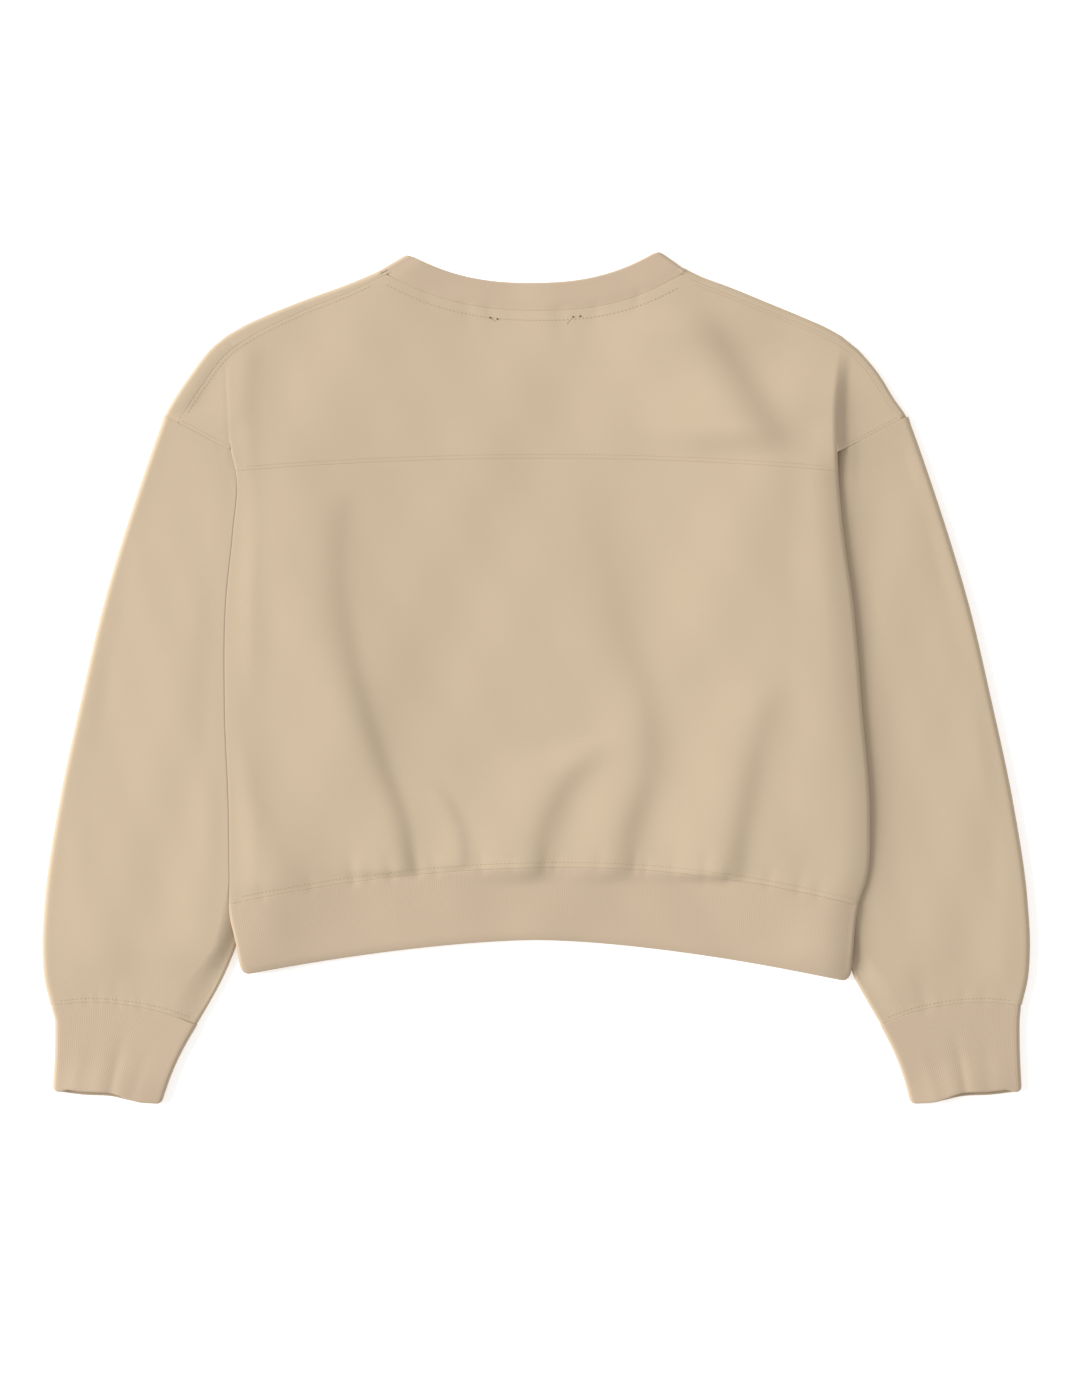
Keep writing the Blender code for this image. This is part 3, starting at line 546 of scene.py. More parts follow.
# Short puckers that hang from the neck seam.
NECK_PUCKERS = (
    Gather(-84, 20, 4, 4.4, 0.18),
    Gather(-53, 34, 3, 5.5, 0.42),
    Gather(-36, 22, 4, 3.0, 0.30),
    Gather(18, 40, 3, 5.0, 0.40),
    Gather(46, 26, -3, 4.0, 0.25),
    Gather(78, 22, -4, 3.4, 0.30),
)
THREAD = 0.42  # thickness of the sewing thread
STITCH = 2.5  # length of one stitch
STITCH_PITCH = 3.0  # from the start of one stitch to that of the next
STITCH_SIDES = 6
STITCH_RISE = (-0.75, 0.05, 0.22, 0.05, -0.75)  # a stitch's bow above the cloth, in threads
STITCH_ROUND = (0.45, 0.92, 1.0, 0.92, 0.45)  # how thick it is from end to end
BELOW_SINK = 0.72  # how much deeper the stitches of an underside are pressed in, in threads
THREAD_COLOUR = (0.46, 0.352, 0.24, 1)


def shoulder_point(side, across, inwards):
    """Points on the shoulder fold, moved in along the cloth, and the way inwards. Side is -1 or 1."""
    name = "left" if side < 0 else "right"
    y = along(SHOULDERS, name, across)
    slope = along(SHOULDERS, name, across + 0.5) - along(SHOULDERS, name, across - 0.5)
    length = np.sqrt(1 + slope**2)
    inward = np.stack([side * slope / length, -1 / length], axis=-1)
    return np.stack([side * across, y], axis=-1) + inward * np.asarray(inwards)[..., None], inward


def shoulder_seam(side, gap, first=109, last=286):
    """X and Y along the shoulder seam on the back, moved in by a gap."""
    places = np.linspace(first, last, 240)
    inset = along(SHOULDERS, "inset_left" if side < 0 else "inset_right", places)
    return shoulder_point(side, places, inset + gap)[0]


def top_of_yoke(x):
    """The Y of the yoke's upper edge: the neck seam, with a shoulder seam on each side of it."""
    left, right = shoulder_seam(-1, SEAM_GAP / 2), shoulder_seam(1, SEAM_GAP / 2)
    neck = bowed(NECK_SEAM, x) - SEAM_GAP / 2
    by_left = np.interp(x, left[::-1, 0], left[::-1, 1])
    by_right = np.interp(x, right[:, 0], right[:, 1])
    return np.minimum(neck, np.where(np.asarray(x) < 0, by_left, by_right))


def cap_reach(side):
    """How far out a shoulder cap goes before its armhole meets the shoulder seam."""
    seam = shoulder_seam(side, SEAM_GAP / 2)
    above = seam[:, 1] - along(ARMHOLES, "back", np.abs(seam[:, 0])) - SEAM_GAP / 2
    return abs(seam[np.where(above > 0.5)[0][-1], 0])


def yoke_panel():
    """The rows of the yoke with its two caps, and its cells that hold no cloth."""
    cap_length = (1 - CAP_START) * YOKE_LENGTH
    even = np.linspace(SEAM_STEPS[-1], CAP_START * YOKE_LENGTH, 7)
    below = np.concatenate([SEAM_STEPS, even[1:]]) / YOKE_LENGTH
    above = close_to_ends(cap_length, SEAM_STEPS, BODY_SPACING) / cap_length
    shares = np.concatenate([below[below < CAP_START - 0.01], CAP_START + (1 - CAP_START) * above])
    cap_from = int(np.searchsorted(shares, CAP_START - 1e-9))
    cap_shares = close_to_ends(1, (0, 0.012, 0.03), 1 / CAP_COLUMNS)[::-1][:-1]
    start_y = float(bowed(YOKE_SEAM, -228))
    rows = []
    for v in shares:
        edge_y = start_y + (YOKE_TOP_AT_EDGE - start_y) * v
        left, right = -float(along(SIDES, "left", edge_y)), float(along(SIDES, "right", edge_y))
        x = body_places(left, right)
        bottom, top = bowed(YOKE_SEAM, x) + SEAM_GAP / 2, top_of_yoke(x)
        y = bottom + (top - bottom) * v
        z = turned_down(x, y, np.minimum(x - left, right - x), 1 - ease(y, *UNDERARM))
        row = np.stack([x, y, z], axis=1)
        cap_v = max(v - CAP_START, 0) / (1 - CAP_START)
        caps = []
        for side, edge in ((-1, left), (1, right)):
            x = edge + (side * cap_reach(side) - edge) * cap_shares
            low = along(ARMHOLES, "back", np.abs(x)) + SEAM_GAP / 2
            y = low + (top_of_yoke(x) - low) * cap_v
            caps.append(np.stack([x, y, back_height(x, y)], axis=1))
        rows.append(np.concatenate([caps[0], row, caps[1][::-1]]))
    rows = np.array(rows)
    hang = bowed(NECK_SEAM, rows[..., 0]) - rows[..., 1]
    rows[..., 2] += gathered(NECK_PUCKERS, rows[..., 0], hang)
    left_out = np.zeros((len(shares) - 1, rows.shape[1] - 1), bool)
    left_out[:cap_from, : len(cap_shares)] = True
    left_out[:cap_from, -len(cap_shares) :] = True
    return rows, left_out


def stitched(name, runs, cloth, finish, from_below=False,
             length=STITCH, pitch=STITCH_PITCH, thick=THREAD):
    """Rows of raised stitches along runs of X and Y, pressed a little into the cloth that they hold."""
    tree = BVHTree.FromObject(cloth, bpy.context.evaluated_depsgraph_get())
    down = Vector((0, 0, 1 if from_below else -1))
    sides, rings = STITCH_SIDES, len(STITCH_RISE)
    lift = thick * (np.array(STITCH_RISE) - (BELOW_SINK if from_below else 0))
    vertices, faces = [], []
    for run in runs:
        run = np.asarray(run, float)
        walked = np.concatenate([[0], np.cumsum(np.linalg.norm(np.diff(run, axis=0), axis=1))])
        for start in np.arange(pitch / 2, walked[-1] - length, pitch):
            at = np.linspace(start, start + length, rings)
            spots = np.stack([np.interp(at, walked, run[:, 0]), np.interp(at, walked, run[:, 1])], axis=1)
            found = [tree.ray_cast(Vector((x * MM, y * MM, 0)) - down * 0.2, down)[:2] for x, y in spots]
            if any(place is None for place, _ in found):
                continue
            centre = np.array([place for place, _ in found]) / MM
            normal = np.array([facing for _, facing in found]).mean(axis=0)
            normal = normal / np.linalg.norm(normal)
            ahead = centre[-1] - centre[0]
            beside = np.cross(normal, ahead / np.linalg.norm(ahead))
            first = len(vertices)
            for k in range(rings):
                middle = centre[k] + normal * lift[k]
                for turn in np.arange(sides) * 2 * math.pi / sides:
                    reach = beside * math.cos(turn) + normal * math.sin(turn)
                    vertices.append((middle + reach * thick / 2 * STITCH_ROUND[k]) * MM)
            for k in range(rings - 1):
                for i in range(sides):
                    a, b = first + k * sides + i, first + k * sides + (i + 1) % sides
                    faces.append((a, b, b + sides, a + sides))
            faces.append(tuple(first + i for i in reversed(range(sides))))
            faces.append(tuple(first + (rings - 1) * sides + i for i in range(sides)))
    mesh = bpy.data.meshes.new(name)
    mesh.from_pydata(vertices, [], faces)
    mesh.shade_smooth()
    mesh.materials.append(finish)
    piece = bpy.data.objects.new(name, mesh)
    bpy.context.scene.collection.objects.link(piece)
    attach(piece, "root")
    return piece


def thread_finish(name, colour):
    """Spun polyester thread, a shade deeper than the cloth, with its twist."""
    made = Shader(name)
    places = made.nodes.new("ShaderNodeTexCoord").outputs["Object"]
    fibre = made.noise(places, 5200, 2.0, 0.5)
    pale = tuple(min(1, c * 1.12) for c in colour[:3]) + (1,)
    made.set(made.surface.inputs["Base Color"], made.between(fibre, colour, pale))
    made.set(made.surface.inputs["Roughness"], made.sum("ADD", made.sum("MULTIPLY", fibre, 0.2), 0.5))
    made.surface.inputs["Sheen Weight"].default_value = 0.1
    made.raised(fibre, 0.0001, 0.4)
    return made.material


thread = thread_finish("sewing thread", THREAD_COLOUR)
yoke_rows, yoke_gaps = yoke_panel()
yoke = cloth_wall("yoke_panel", yoke_rows, FLEECE, fleece, left_out=yoke_gaps)
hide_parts("back_yoke")
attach(yoke, "root")
YOKE_NEEDLE = 3.0  # how far above the yoke seam its stitches run
needle_x = np.linspace(-222, 221, 300)
yoke_run = np.stack([needle_x, bowed(YOKE_SEAM, needle_x) + YOKE_NEEDLE], axis=1)
yoke_stitching = stitched("yoke_stitching", [yoke_run], yoke, thread)


# ----------------------------------------------------------
# Front panel. One piece of the same fleece, face down on the surface. At the shoulders it folds
# over to the back, where it meets the yoke in a topstitched seam.
FRONT_NECK_SEAM = Bow(-2, 207, 114, 101, 114, 101, 3.2)
FRONT_NECK_ENDS = (-115.8, 111.5)  # where that seam meets the shoulder folds
FRONT_EDGE_STEPS = (0, 0.05, 0.3, 0.7, 1.2, 1.8, 2.6)
UNDERARM_NOTCH = 13  # how far the front is cut in under an armhole
NOTCH_BEGINS, NOTCH_ENDS = (160, 173), (192, 222)
FOLD_OPENS = (158, 170)  # heights over which the front's side edges no longer turn up
ARMHOLE_AT = 0.8415  # share of the front's height at which the armholes start
BELOW_ARMHOLE, ABOVE_ARMHOLE = 280, 60  # lengths beside an armhole, which set how many rows there are
FRONT_SPACING = 2.9
CAP_COLUMNS_FRONT = 16
SHOULDER_COLUMNS = 38
NECK_COLUMNS = 84
SHOULDER_TURNS = np.arange(12, 181, 12)  # degrees round the shoulder fold
CAP_OUTER_LEFT, CAP_OUTER_RIGHT, CAP_INNER = 282.6, 281.8, 245.0  # how far out the caps go, and from where
CAP_SPREAD = 3  # how much nearer the middle a cap's last column starts at the armhole than at the fold
SHOULDER_OUTER = 225.0  # where the columns between the cap and the neck begin
TURN_LEFT, TURN_RIGHT = 117.4, 113.4  # where the shoulder fold opens towards the neck
TURN_MARGIN = 3  # how far outside that the last whole column runs
OPENING = np.linspace(1, 0.25, 7)  # how far round the fold still goes at its opening columns
OPENING_REACH = 1.8  # how far they run on towards the neck
OPENING_TURN = 8  # degrees by which they go on turning after half a turn
NECK_TUCK = 3.0  # how far the neck's edge is turned under
NECK_SLANT = 5.0  # how much nearer the neck the folded-over strip ends at its seam than at its fold


def seam_share(bow, across):
    """Half the seam gap, measured along Y where the seam runs steeply."""
    slope = bowed(bow, across + 0.5) - bowed(bow, across - 0.5)
    return SEAM_GAP / 2 * np.sqrt(1 + slope**2)


def front_edge(x, y):
    """Half the front's width at a height: the side edge, notched inwards under the armhole."""
    notch = UNDERARM_NOTCH * ease(y, *NOTCH_BEGINS) * (1 - ease(y, *NOTCH_ENDS))
    return side_value(x, y, "") - notch


def neck_places(count):
    """Places across the front neck seam, close together where it runs steeply."""
    turn = np.linspace(0, math.pi, count)
    share = 0.5 - 0.5 * np.cos(turn)
    share = share * 0.6 + 0.4 * (0.5 - 0.5 * np.cos(math.pi * share))
    return FRONT_NECK_ENDS[0] + (FRONT_NECK_ENDS[1] - FRONT_NECK_ENDS[0]) * share


def front_columns():
    """The front's columns from left to right: kind, side, place and how far each turns over."""
    halves = []
    for side, outer, turn in ((-1, CAP_OUTER_LEFT, TURN_LEFT), (1, CAP_OUTER_RIGHT, TURN_RIGHT)):
        plain = np.linspace(SHOULDER_OUTER, turn + TURN_MARGIN, SHOULDER_COLUMNS)
        half = [("cap", side, a, 1.0) for a in np.linspace(outer, CAP_INNER, CAP_COLUMNS_FRONT)]
        half += [("edge", side, inset, 1.0) for inset in FRONT_EDGE_STEPS]
        half += [("shoulder", side, a, 1.0) for a in plain]
        half += [("shoulder", side, turn - OPENING_REACH * (1 - s), s) for s in OPENING]
        halves.append(half)
    neck = [("neck", 0, x, 0.0) for x in neck_places(NECK_COLUMNS)]
    return halves[0] + neck + halves[1][::-1]


def front_panel():
    """The rows of the front panel from the hem seam to the shoulder seams, and its empty cells."""
    lower = close_to_ends(BELOW_ARMHOLE, SEAM_STEPS, FRONT_SPACING) / BELOW_ARMHOLE * ARMHOLE_AT
    first = np.array(SEAM_STEPS[1:]) / ABOVE_ARMHOLE
    upper = np.concatenate([first, np.linspace(first[-1], 1, 20)[1:]])
    shares = np.concatenate([lower, ARMHOLE_AT + (1 - ARMHOLE_AT) * upper])
    cap_from = len(lower) - 1
    strip = np.concatenate([np.linspace(0, 0.7, 4)[1:], 1 - np.array(SEAM_STEPS[4::-1]) / 6])
    columns = front_columns()
    base = len(shares)
    grid = np.zeros((base + len(SHOULDER_TURNS) + len(strip), len(columns), 3))
    for c, (kind, side, place, share) in enumerate(columns):
        name = "left" if side < 0 else "right"
        if kind == "neck":
            top_x = place
            top_y = float(bowed(FRONT_NECK_SEAM, place) - seam_share(FRONT_NECK_SEAM, place))
        else:
            across = float(along(SIDES, name, YOKE_TOP_AT_EDGE)) - place if kind == "edge" else place
            (top_x, top_y), inward = shoulder_point(side, across, BODY_FOLD)
        if kind == "cap":
            v = np.clip(shares - ARMHOLE_AT, 0, None) / (1 - ARMHOLE_AT)
            cap_outer = CAP_OUTER_LEFT if side < 0 else CAP_OUTER_RIGHT
            low_x = side * (across - CAP_SPREAD * (1 - (across - CAP_INNER) / (cap_outer - CAP_INNER)))
            low_y = float(along(ARMHOLES, "front", abs(low_x))) + SEAM_GAP / 2
            x, y = low_x + (top_x - low_x) * v, low_y + (top_y - low_y) * v
            z = FRONT_LEVEL + front_rise(x, y)
        else:
            low_y = float(bowed(HEM_SEAM, top_x)) + SEAM_GAP / 2
            y = low_y + (top_y - low_y) * shares
            edge = front_edge(top_x, y)
            if kind == "edge":
                x = side * (edge - place)
                x = x + (top_x - x) * ease(shares, ARMHOLE_AT, 1)
            else:
                x = top_x * edge / front_edge(top_x, top_y)
            z = FRONT_LEVEL + front_rise(x, y)
            if kind == "edge":
                depth = np.clip(BODY_FOLD - place, 0, BODY_FOLD)
                drop = 1 - math.sqrt(1 - (depth / BODY_FOLD) ** 2)
                seam = side_seam_height(side * edge, y) - SEAM_GAP / 2
                z = z + (seam - z) * drop * (1 - ease(y, *FOLD_OPENS))
        grid[:base, c] = np.stack([x, y, z], axis=1)
        if kind == "neck":
            back_along = grid[base - 2, c, :2] - grid[base - 1, c, :2]
            back_along *= NECK_TUCK / np.linalg.norm(back_along)
            end = grid[base - 1, c, :2].copy()
            rest = np.linspace(0, 1, len(grid) - base + 1)
            grid[base - 1 :, c, :2] = end + back_along * (1 - rest[:, None])
            grid[base - 1 :, c, 2] = FRONT_LEVEL
            continue
        strip_angle = SHOULDER_TURNS[-1] + OPENING_TURN * strip / max(share, 0.01)
        for w, angle in enumerate(np.concatenate([SHOULDER_TURNS, strip_angle])):
            turn = math.radians(angle * share)
            if share == 1.0 and w >= len(SHOULDER_TURNS):
                reach = strip[w - len(SHOULDER_TURNS)]
                inset = float(along(SHOULDERS, "inset_" + name, across)) - SEAM_GAP / 2
                inset = BODY_FOLD + (inset - BODY_FOLD) * reach
                turn_at = TURN_LEFT if side < 0 else TURN_RIGHT
                slant = NECK_SLANT * reach * float(ease(across, turn_at + 14, turn_at))
                grid[base + w, c, :2] = shoulder_point(side, across - slant, inset)[0]
                grid[base + w, c, 2] = BACK_LEVEL
                continue
            outward = -inward * BODY_FOLD * math.sin(turn)
            grid[base + w, c, :2] = np.array([top_x, top_y]) + outward
            grid[base + w, c, 2] = FRONT_LEVEL + BODY_FOLD * (1 - math.cos(turn))
    whole = np.array([kind != "neck" and share == 1.0 for kind, _, _, share in columns])
    lift = back_height(grid[base - 1, :, 0], grid[base - 1, :, 1]) - BACK_LEVEL
    for w, angle in enumerate(SHOULDER_TURNS):
        grid[base + w, :, 2] += np.where(whole, lift * (1 - math.cos(math.radians(angle))) / 2, 0)
    folded_over = grid[base + len(SHOULDER_TURNS) :]
    level = back_height(folded_over[..., 0], folded_over[..., 1])
    folded_over[:, whole, 2] = level[:, whole]
    left_out = np.zeros((len(grid) - 1, len(columns) - 1), bool)
    left_out[:cap_from, :CAP_COLUMNS_FRONT] = True
    left_out[:cap_from, -CAP_COLUMNS_FRONT:] = True
    return grid, left_out


front_rows, front_gaps = front_panel()
front = cloth_wall("front_panel", front_rows, FLEECE, fleece, left_out=front_gaps)
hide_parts("front")
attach(front, "root")
SHOULDER_NEEDLE = 2.6  # how far inside the shoulder seam its stitches run
shoulder_runs = [shoulder_seam(side, SHOULDER_NEEDLE, first, last=278)
                 for side, first in ((-1, 128), (1, 122))]
shoulder_stitching = stitched("shoulder_stitching", shoulder_runs, yoke, thread)


# ----------------------------------------------------------
# Collar. A ring of fine rib, folded double along its free edge and sewn to the neck. The seam is
# topstitched on the body, front and back, and four small tacks of darker thread sit on those stitches.
RIB = 2.8  # thickness of the doubled rib
RIB_LEVEL = RIB / 2  # height of its middle surface where it lies on the table
NECK_LEFT, NECK_RIGHT = -116.0, 112.0  # where the neck seam turns over the shoulder folds
NECK_EDGE = Bow(-3, 301.9, 95, 22, 98, 25.8, 2.4)
FRONT_NECK_EDGE = Bow(-3, 229, 97, 91, 96, 95, 3.0)
TIP_LEFT, TIP_RIGHT = -94.8, 90.2  # where the free edge turns over
TIP_ROUND = 4.5  # radius of the corner at each tip
TIP_LEAN = (0.4, 0.68)  # which way a tip's fold faces, across and up
TIP_TURNS = np.arange(15, 180, 15)  # degrees round a tip's fold
COLLAR_FOLD = BODY_FOLD - 0.15  # a little tighter than the body's folds
COLLAR_HEIGHT = 21
COLLAR_SPACING = 1.8
COLLAR_BACK_STATIONS = 130
COLLAR_FRONT_STATIONS = 100
SEAM_SHARE_UP = 0.35  # share of the collar's height over which it comes up from its seam
RIB_STEPS = (0, 0.1, 0.3, 0.6, 1.0, 1.5, 2.4)
RIB_COLOUR = (0.527, 0.406, 0.288, 1)
RIB_PALE = (0.552, 0.430, 0.308, 1)
RIB_PITCH = 0.0015  # one raised and one sunk column of the rib, in metres


def fine_rib(made, places, across, up):
    """One-by-one rib, a little uneven from column to column, and how high its nap stands."""
    column = made.sum("MULTIPLY", across, 2 * math.pi / RIB_PITCH)
    ribs = made.sum("SINE", made.sum("ADD", column, made.sum("MULTIPLY", made.noise(places, 120), 1.2)))
    loops = made.sum("SINE", made.sum("MULTIPLY", up, 2 * math.pi / COURSE))
    return made.sum("ADD", made.sum("MULTIPLY", ribs, 0.35), made.sum("MULTIPLY", loops, 0.2)), 1.4


rib = knit_finish("fine rib", (RIB_COLOUR, RIB_PALE), 34, fine_rib, 0.82, 0.18)


def tip_station(seam_x, edge_x, side, angle):
    """A station of the collar on the fold at one of its tips."""
    turn = math.radians(angle)
    out = COLLAR_FOLD * math.sin(turn)
    across, up = side * out * TIP_LEAN[0], out * TIP_LEAN[1]
    seam = (seam_x + across, float(bowed(NECK_SEAM, seam_x)) + up + SEAM_GAP / 2)
    edge = (edge_x + across, float(bowed(NECK_EDGE, edge_x)) + up)
    return seam, edge, RIB_LEVEL + COLLAR_FOLD * (1 + math.cos(turn))


def collar_stations():
    """Round the collar: the seam's point, the free edge's point and the height at each."""
    stations = []
    tip_height = RIB_LEVEL + 2 * COLLAR_FOLD
    for t in 0.5 - 0.5 * np.cos(np.linspace(0, math.pi, COLLAR_BACK_STATIONS)):
        seam_x = NECK_LEFT + (NECK_RIGHT - NECK_LEFT) * t
        edge_x = TIP_LEFT + (TIP_RIGHT - TIP_LEFT) * t
        seam = (seam_x, float(bowed(NECK_SEAM, seam_x)) + SEAM_GAP / 2)
        edge = (edge_x, float(bowed(NECK_EDGE, edge_x)))
        level = float(ease(abs(2 * t - 1), 1.0, 0.9))
        low = float(back_height(*seam))
        stations.append((seam, edge, tip_height + (low - tip_height) * level))
    stations += [tip_station(NECK_RIGHT, TIP_RIGHT, 1, angle) for angle in TIP_TURNS]
    for seam_x in neck_places(COLLAR_FRONT_STATIONS)[::-1]:
        t = (seam_x - NECK_LEFT) / (NECK_RIGHT - NECK_LEFT)
        edge_x = TIP_LEFT + (TIP_RIGHT - TIP_LEFT) * t
        seam_y = float(bowed(FRONT_NECK_SEAM, seam_x) + 2 * seam_share(FRONT_NECK_SEAM, seam_x))
        edge_y = float(bowed(FRONT_NECK_EDGE, edge_x))
        stations.append(((seam_x, seam_y), (edge_x, edge_y), RIB_LEVEL))
    stations += [tip_station(NECK_LEFT, TIP_LEFT, -1, angle) for angle in TIP_TURNS[::-1]]
    return stations


def rounded_corner(distance, radius):
    """How far a corner is cut back at a distance from its side."""
    return radius * (1 - np.sqrt(1 - np.clip(1 - np.asarray(distance) / radius, 0, 1) ** 2))


def collar_ring():
    """The rows of the collar, from its seam to its folded edge."""
    stations = collar_stations()
    seam = np.array([(*s, z) for s, _, z in stations])
    edge = np.array([(*e, z) for _, e, z in stations])
    length = np.linalg.norm(edge - seam, axis=1)
    from_tip = np.minimum(edge[:, 0] - TIP_LEFT, TIP_RIGHT - edge[:, 0])
    from_tip = COLLAR_FOLD + np.where(from_tip < 0, from_tip / TIP_LEAN[0], from_tip)
    edge = edge - (edge - seam) * (rounded_corner(from_tip, TIP_ROUND) / length)[:, None]
    shares = close_to_ends(COLLAR_HEIGHT, RIB_STEPS, COLLAR_SPACING) / COLLAR_HEIGHT
    rows = [seam + (edge - seam) * v for v in shares]
    on_back = np.arange(len(seam)) < COLLAR_BACK_STATIONS
    for row, share in zip(rows, shares):
        puckers = gathered(NECK_PUCKERS, row[:, 0], np.zeros(len(seam)))
        down = (puckers - (RIB - FLEECE) / 2) * (1 - ease(share, 0, SEAM_SHARE_UP))
        row[:, 2] += np.where(on_back, down, 0)
    return rows


NECK_NEEDLE = 7.4  # how far below the neck seam its stitches run


def below_neck(bow, first, last, count):
    """X and Y of a run of stitches at an even distance below a neck seam."""
    x = np.linspace(first, last, count)
    slope = np.gradient(bowed(bow, x), x)
    drop = NECK_NEEDLE / np.sqrt(1 + slope**2)
    return np.stack([x + drop * slope, bowed(bow, x) - drop], axis=1)


collar = cloth_wall("collar_ring", collar_ring(), RIB, rib, wraps=True, folded_end=True)
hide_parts("collar")
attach(collar, "root")
neck_run = below_neck(NECK_SEAM, -112, 106, 240)
neck_stitching = stitched("neck_stitching", [neck_run], yoke, thread, thick=0.55)
front_neck_run = below_neck(FRONT_NECK_SEAM, -108, 104, 260)
front_neck_stitching = stitched("front_neck_stitching", [front_neck_run], front, thread, from_below=True)

# Four small tacks in dark thread, in two pairs on the row of stitches below the back neck, with the
# thread that runs from one to the next.
TACK_COLOUR = (0.10, 0.062, 0.042, 1)
TACKS = ((-34.8, 275.2), (-29.5, 274.2), (28.2, 275.7), (33.5, 276.2))
TACK_ENDS = (
    ((-34.6, 275.0), (-31.6, 272.4), (-29.6, 274.0)),
    ((28.2, 275.6), (24.6, 271.6), (22.9, 268.8)),
)
tack_thread = thread_finish("tacking thread", TACK_COLOUR)
tack_runs = [np.array([(x - 1.3, y - 0.3), (x + 1.3, y + 0.3)]) for x, y in TACKS]
tacks = stitched("label_tacks", tack_runs, yoke, tack_thread, length=1.7, pitch=0.9, thick=1.3)
tack_ends = stitched("label_thread", TACK_ENDS, yoke, tack_thread, length=2.0, pitch=2.1, thick=0.34)


# ----------------------------------------------------------
# Sleeves. Each is one piece of fleece sewn into a tube, laid flat with its inner edge tucked
# under the body. It is gathered a little into its cuff and topstitched round the armhole.
SLEEVE_AIR = 1.4  # air between the two walls of a sleeve
SLEEVE_LENGTH, SLEEVE_SPACING = 430, 2.5
RIGHT_SAG = 1.6  # how much lower the right sleeve lies beside the body than farther out
LEFT_STEP = 0.2  # the left sleeve lies up against the body, this much above its surface
OUTER_FULL = 1.4  # how much rounder a sleeve's outer fold is than its tucked one
TUCKED_SHARE = 0.2  # share of a sleeve's columns that lie under the body
BESIDE_BODY = 0.4  # how far outside the body's edge the next column runs
CLOSE_SHARES = (0, 0.0024, 0.005, 0.008, 0.012, 0.018, 0.026)
SLEEVE_FOLD = (FLEECE + SLEEVE_AIR) / 2
CAP_LAP = 1.2  # how far the outer fold runs on past the end of the armhole seam
TUCKED_DIP = 0.8  # how much lower a sleeve's tucked end lies under the body
TUCKED_DIP_BEGINS = (140, 168)  # heights over which that begins
SAG_INSIDE, SAG_OUTSIDE = (-22, 0), (8, 130)  # where the right sleeve's sag begins and where it ends
NARROW_BEGINS = (-240, -200)  # heights over which the tucked part grows to its full share
SAG_BEGINS = (-205, -240)  # heights, downwards, over which the sag dies away
OUTER_ENDS = 0.86  # share of the way across at which a sleeve's sag and waves begin to die away
FREE_BEGINS = (4, 24)  # distances outside the body over which a sleeve's slow waves begin
WAVE_ACROSS, WAVE_UP = 1.3, 0.8  # how a sleeve's slow waves are stretched
FULL_BEGINS = (0, 0.12)  # shares of the length over which the outer fold rounds out from the cuff
NARROWS_AGAIN = (0.9, 1)  # and over which it takes the body's fold at the armhole
CLOSE_BESIDE = (-0.9, 0.4)  # distances from the body's edge over which the left sleeve joins it
CLOSE_BEGINS = (-245, -190)  # heights over which that begins
ARMHOLE_REACH = 84  # how far below the armhole seam a sleeve begins to rise to the yoke
ARMHOLE_BESIDE = 14  # how far outside the body it rises all the way

# Outer edge of each sleeve and its two inner edges, from the cuff to the shoulder.
Sleeve = namedtuple("Sleeve", "height outer inner_left inner_right")
SLEEVES = (
    Sleeve(-270, 366, 264, 268),
    Sleeve(-250, 368.8, 252, 256),
    Sleeve(-228, 373.8, 240, 244),
    Sleeve(-207, 375.2, 231, 236),
    Sleeve(-169, 373.4, 220, 225),
    Sleeve(-92, 362, 208, 211),
    Sleeve(-16, 345.8, 198, 200),
    Sleeve(60, 327.8, 194, 195),
    Sleeve(98, 316.7, 196, 196),
    Sleeve(137, 304.2, 200, 200),
    Sleeve(175, 291.3, 207, 207),
    Sleeve(206, 280, 214, 213),
)

# The cuff's seam and its end, at shares of the way from the inner edge to the outer one.
Cuff = namedtuple("Cuff", "share seam end_across end")
CUFFS = (
    Cuff(0.0, -262.5, 286.0, -323.5),
    Cuff(0.25, -254.0, 306.0, -322.0),
    Cuff(0.5, -248.5, 326.0, -318.0),
    Cuff(0.75, -246.0, 348.0, -317.0),
    Cuff(1.0, -248.0, 369.5, -314.5),
)

# Gathers above each cuff, placed outwards from the middle of the garment.
LEFT_CUFF_GATHERS = (
    Gather(352, 12, 1, 2.8, 0.14),
    Gather(341, 17, 2, 2.8, 0.24),
    Gather(333, 20, 2, 2.6, 0.26),
    Gather(325, 14, 1, 2.4, 0.22),
    Gather(318, 24, 3, 3.0, 0.32),
    Gather(310, 16, 2, 2.6, 0.22),
    Gather(301, 22, 3, 3.0, 0.22),
    Gather(291, 14, 2, 2.6, 0.14),
)
RIGHT_CUFF_GATHERS = (
    Gather(356, 14, 1, 3.0, 0.14),
    Gather(341, 18, 1, 3.0, 0.2),
    Gather(325, 22, 2, 3.4, 0.2),
    Gather(309, 15, 2, 2.8, 0.18),
    Gather(297, 46, -9, 5.0, 0.45),
)


def round_tube(shares, turn_count):
    """Stations round a flattened tube: share across, degrees round a fold, and the way outwards."""
    turns = np.linspace(0, 180, turn_count + 2)[1:-1]
    count = len(shares)
    share = np.concatenate([shares, np.ones(turn_count), shares[::-1], np.zeros(turn_count)])
    angle = np.concatenate([np.zeros(count), turns, np.full(count, 180), turns[::-1]])
    outward = np.where(share >= 0.5, 1.0, -1.0)
    return share, np.radians(angle), outward


